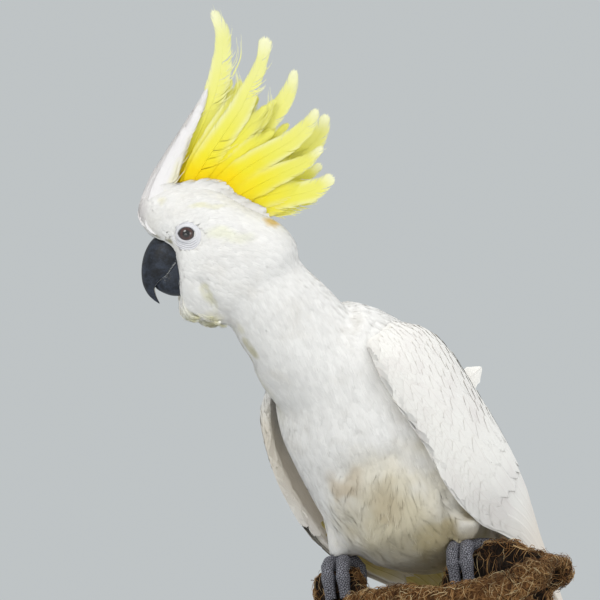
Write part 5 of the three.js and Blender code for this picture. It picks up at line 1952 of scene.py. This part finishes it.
def makeFibres(body, material):
    random = seeded(91)
    middles, normals = body.middles, unit(body.crosses)
    place = stemPlace(middles)
    along, _, high = place.T
    within = insideStem(middles, normals)
    ended = (along > 98) & (high > 2)
    chances = {
        "wall": ~within,
        "tangle": ~within * np.where(high > -16, 1.6, 0.5),
        "rim": ~within & (ended | (high > 3) & (normals[:, 2] > 0.35)),
        "end": ended & (normals @ stemAxes[0] > 0.1),
        "inside": within,
    }
    parts = []
    for kind, count, lengths, width, (alongPull, downPull, wildPull), lift in fibreKinds:
        chance = body.areas * chances[kind]
        picked = random.choice(len(chance), count, p=chance / chance.sum())
        spot, normal = middles[picked], normals[picked]
        length = random.uniform(*lengths, count)
        pull = stemAxes[0] * alongPull * random.choice([-1, 1], (count, 1)) + stemAxes[2] * downPull
        way = unit(pull + wildPull * random.standard_normal((count, 3)))
        way = unit(way - normal * dot(way, normal))
        line, steps = [spot], len(fibreTaper)
        high = lift * random.uniform(0.15, 1.1, count) ** 1.5
        free = random.random(count) < looseFibres
        for k in range(1, steps):
            wild = way + 0.4 * random.standard_normal((count, 3))
            way = unit(wild - normal * dot(wild, normal))
            spot = spot + way * (length / (steps - 1))[:, None]
            spot, normal = body.nearest(spot)
            share = k / (steps - 1)
            height = np.where(free, high * 1.5 * share, high * math.sin(math.pi * share * 0.92))
            line.append(spot + normal * height[:, None])
        line = np.stack(line, axis=1)
        run = unit(np.gradient(line, axis=1))
        side = unit(np.cross(run, vec(0.31, 0.9, 0.3)))
        up = np.cross(side, run)
        thin = (width * random.uniform(0.5, 1.25, (count, 1)) * fibreTaper)[..., None]
        rings = [line + thin * (side * math.cos(a) + up * math.sin(a)) for a in fibreCorners]
        points = np.stack(rings, axis=2).reshape(-1, 3)
        faces = repeatFaces(gridFaces(steps, 3, True), 3 * steps, count)
        x, y, z = (place[picked] / (200, 60, 60) + 0.5).T
        root = np.stack([x, (y + z) / 2], axis=1)
        values = (np.repeat(value, 3 * steps, axis=0) for value in (random.random(count), root))
        parts.append((points, faces, *values))
    points, faces, tones, uvs = joinParts(parts)
    tufts = tuftUvs(np.clip(uvs, 0, 1), np.tile([(0, 0), (0.5, 0), (1, 1)], (len(points) // 3, 1)))
    makePiece("perchFibres", points, faces, material, "fibre", tone=tones, OFBake=tufts)


def wallMaterial():
    shader = Shader("stemWall", 0.92, 0.15)
    streaks, grit = shader.grain((0.5, 0.5, 0.09), 4, 0.6), shader.grain(0.8, 4, 0.65)
    shader.colour = paint(70, 46, 28)
    shader.layer((146, 104, 64), streaks.ease(0.35, 0.68))
    shader.layer((34, 22, 14), grit.ease(0.5, 0.7) * 0.75)
    inside = shader.mix(paint(26, 19, 14), paint(74, 60, 48), streaks.ease(0.45, 0.75) * 0.8)
    shader.colour = shader.mix(shader.colour, inside, shader.tone())
    return shader.set(Normal=shader.bump(grit + streaks, 1.1))


def fibreMaterial():
    shader = Shader("fibreStrand", 0.85, 0.2)
    shader.colour = shader.ramp(shader.tone(), [
        (0.0, (48, 32, 19)), (0.3, (106, 72, 42)), (0.6, (154, 112, 68)), (0.85, (188, 150, 100)),
        (1.0, (224, 202, 158)),
    ])
    shader.layer((58, 36, 22), shader.grain(0.06).ease(0.42, 0.66) * 0.5)
    return shader.set()


def makePerch():
    body = roughStem()
    x, y, z = stemPlace(body.points).T
    unwrap = np.stack([np.arctan2(y, -z) / (2 * np.pi) + 0.5, np.clip(x / 200 + 0.4, 0, 1)], axis=1)
    tone = insideStem(body.points, body.normals).astype(float)
    wall = wallMaterial()
    makePiece("stemWall", body.points, body.faces, wall, "fibre", ("perch",), tone=tone, OFBake=unwrap)
    makeFibres(body, fibreMaterial())


standShape = {"sides": 160, "bevel": 2, "rings": 7, "rodSides": 40, "rodRings": 12, "sunk": 1.5}


def woodMaterial():
    wood = Shader("standWood", 0.42, 0.5, Coat_Weight=0.25, Coat_Roughness=0.25)
    rings = (wood.part(wood.place, 1) * 0.16 + wood.grain((0.006, 0.02, 0.02)) * 16).sine()
    pores = wood.grain((0.05, 1.1, 1.1), 4, 0.6)
    wood.colour = paint(86, 56, 34)
    wood.layer((128, 88, 54), rings.ease(-1, 1))
    wood.layer((54, 34, 20), pores.ease(0.52, 0.72) * 0.7)
    return wood.set(Normal=wood.bump(pores, 0.15))


def steelMaterial():
    metal = Shader("rodSteel", 0.3, 0.5, Metallic=1.0)
    turned = metal.grain((0.3, 0.3, 5))
    metal.colour = paint(178, 176, 170)
    metal.layer((204, 202, 197), turned)
    return metal.set(Roughness=turned * 0.15 + 0.22)


# Rings that fill a box, drawn in by the inset given for each height.
def stack(sides, low, high, heights):
    middle, half = (low + high)[:2] / 2, (high - low)[:2] / 2
    rows = [circle(sides) * (half - inset) + middle for inset, _ in heights]
    return loft([np.column_stack([row, np.full(len(row), z)]) for row, (_, z) in zip(rows, heights)])


def makeStand():
    low, high = nodeBox("stand_base")
    bevel = standShape["bevel"]
    arc = np.linspace(0, np.pi / 2, standShape["rings"])
    edge = [(bevel * (1 - math.sin(a)), low[2] + bevel * (1 - math.cos(a))) for a in arc]
    edge += [(bevel * (1 - math.cos(a)), high[2] - bevel * (1 - math.sin(a))) for a in arc]
    points, faces = stack(standShape["sides"], low, high, edge)
    unwrap = (points[:, :2] - low[:2]) / (high - low)[:2]
    makePiece("baseWood", points, faces, woodMaterial(), "base", ("stand_base",), smooth=False, OFBake=unwrap)
    steel = steelMaterial()
    for number in (1, 2):
        name = f"stand_rod_{number}"
        low, high = nodeBox(name)
        heights = np.linspace(low[2], high[2] + standShape["sunk"], standShape["rodRings"])
        rings = [(0, z) for z in heights]
        points, faces = stack(standShape["rodSides"], low, high, rings)
        unwrap = loftUv(standShape["rodRings"], standShape["rodSides"])
        makePiece(f"rodSteel_{number}", points, faces, steel, "rod", (name,), OFBake=unwrap)


makeChin()
makeBackFeather()
footScales, clawHorn = footMaterial(), clawMaterial()
for footSide in sides:
    makeFoot(footSide, footScales, clawHorn)
makePerch()
makeStand()
report("feet, perch and stand")


def writeSizes():
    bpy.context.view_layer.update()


writeSizes()
report("done")
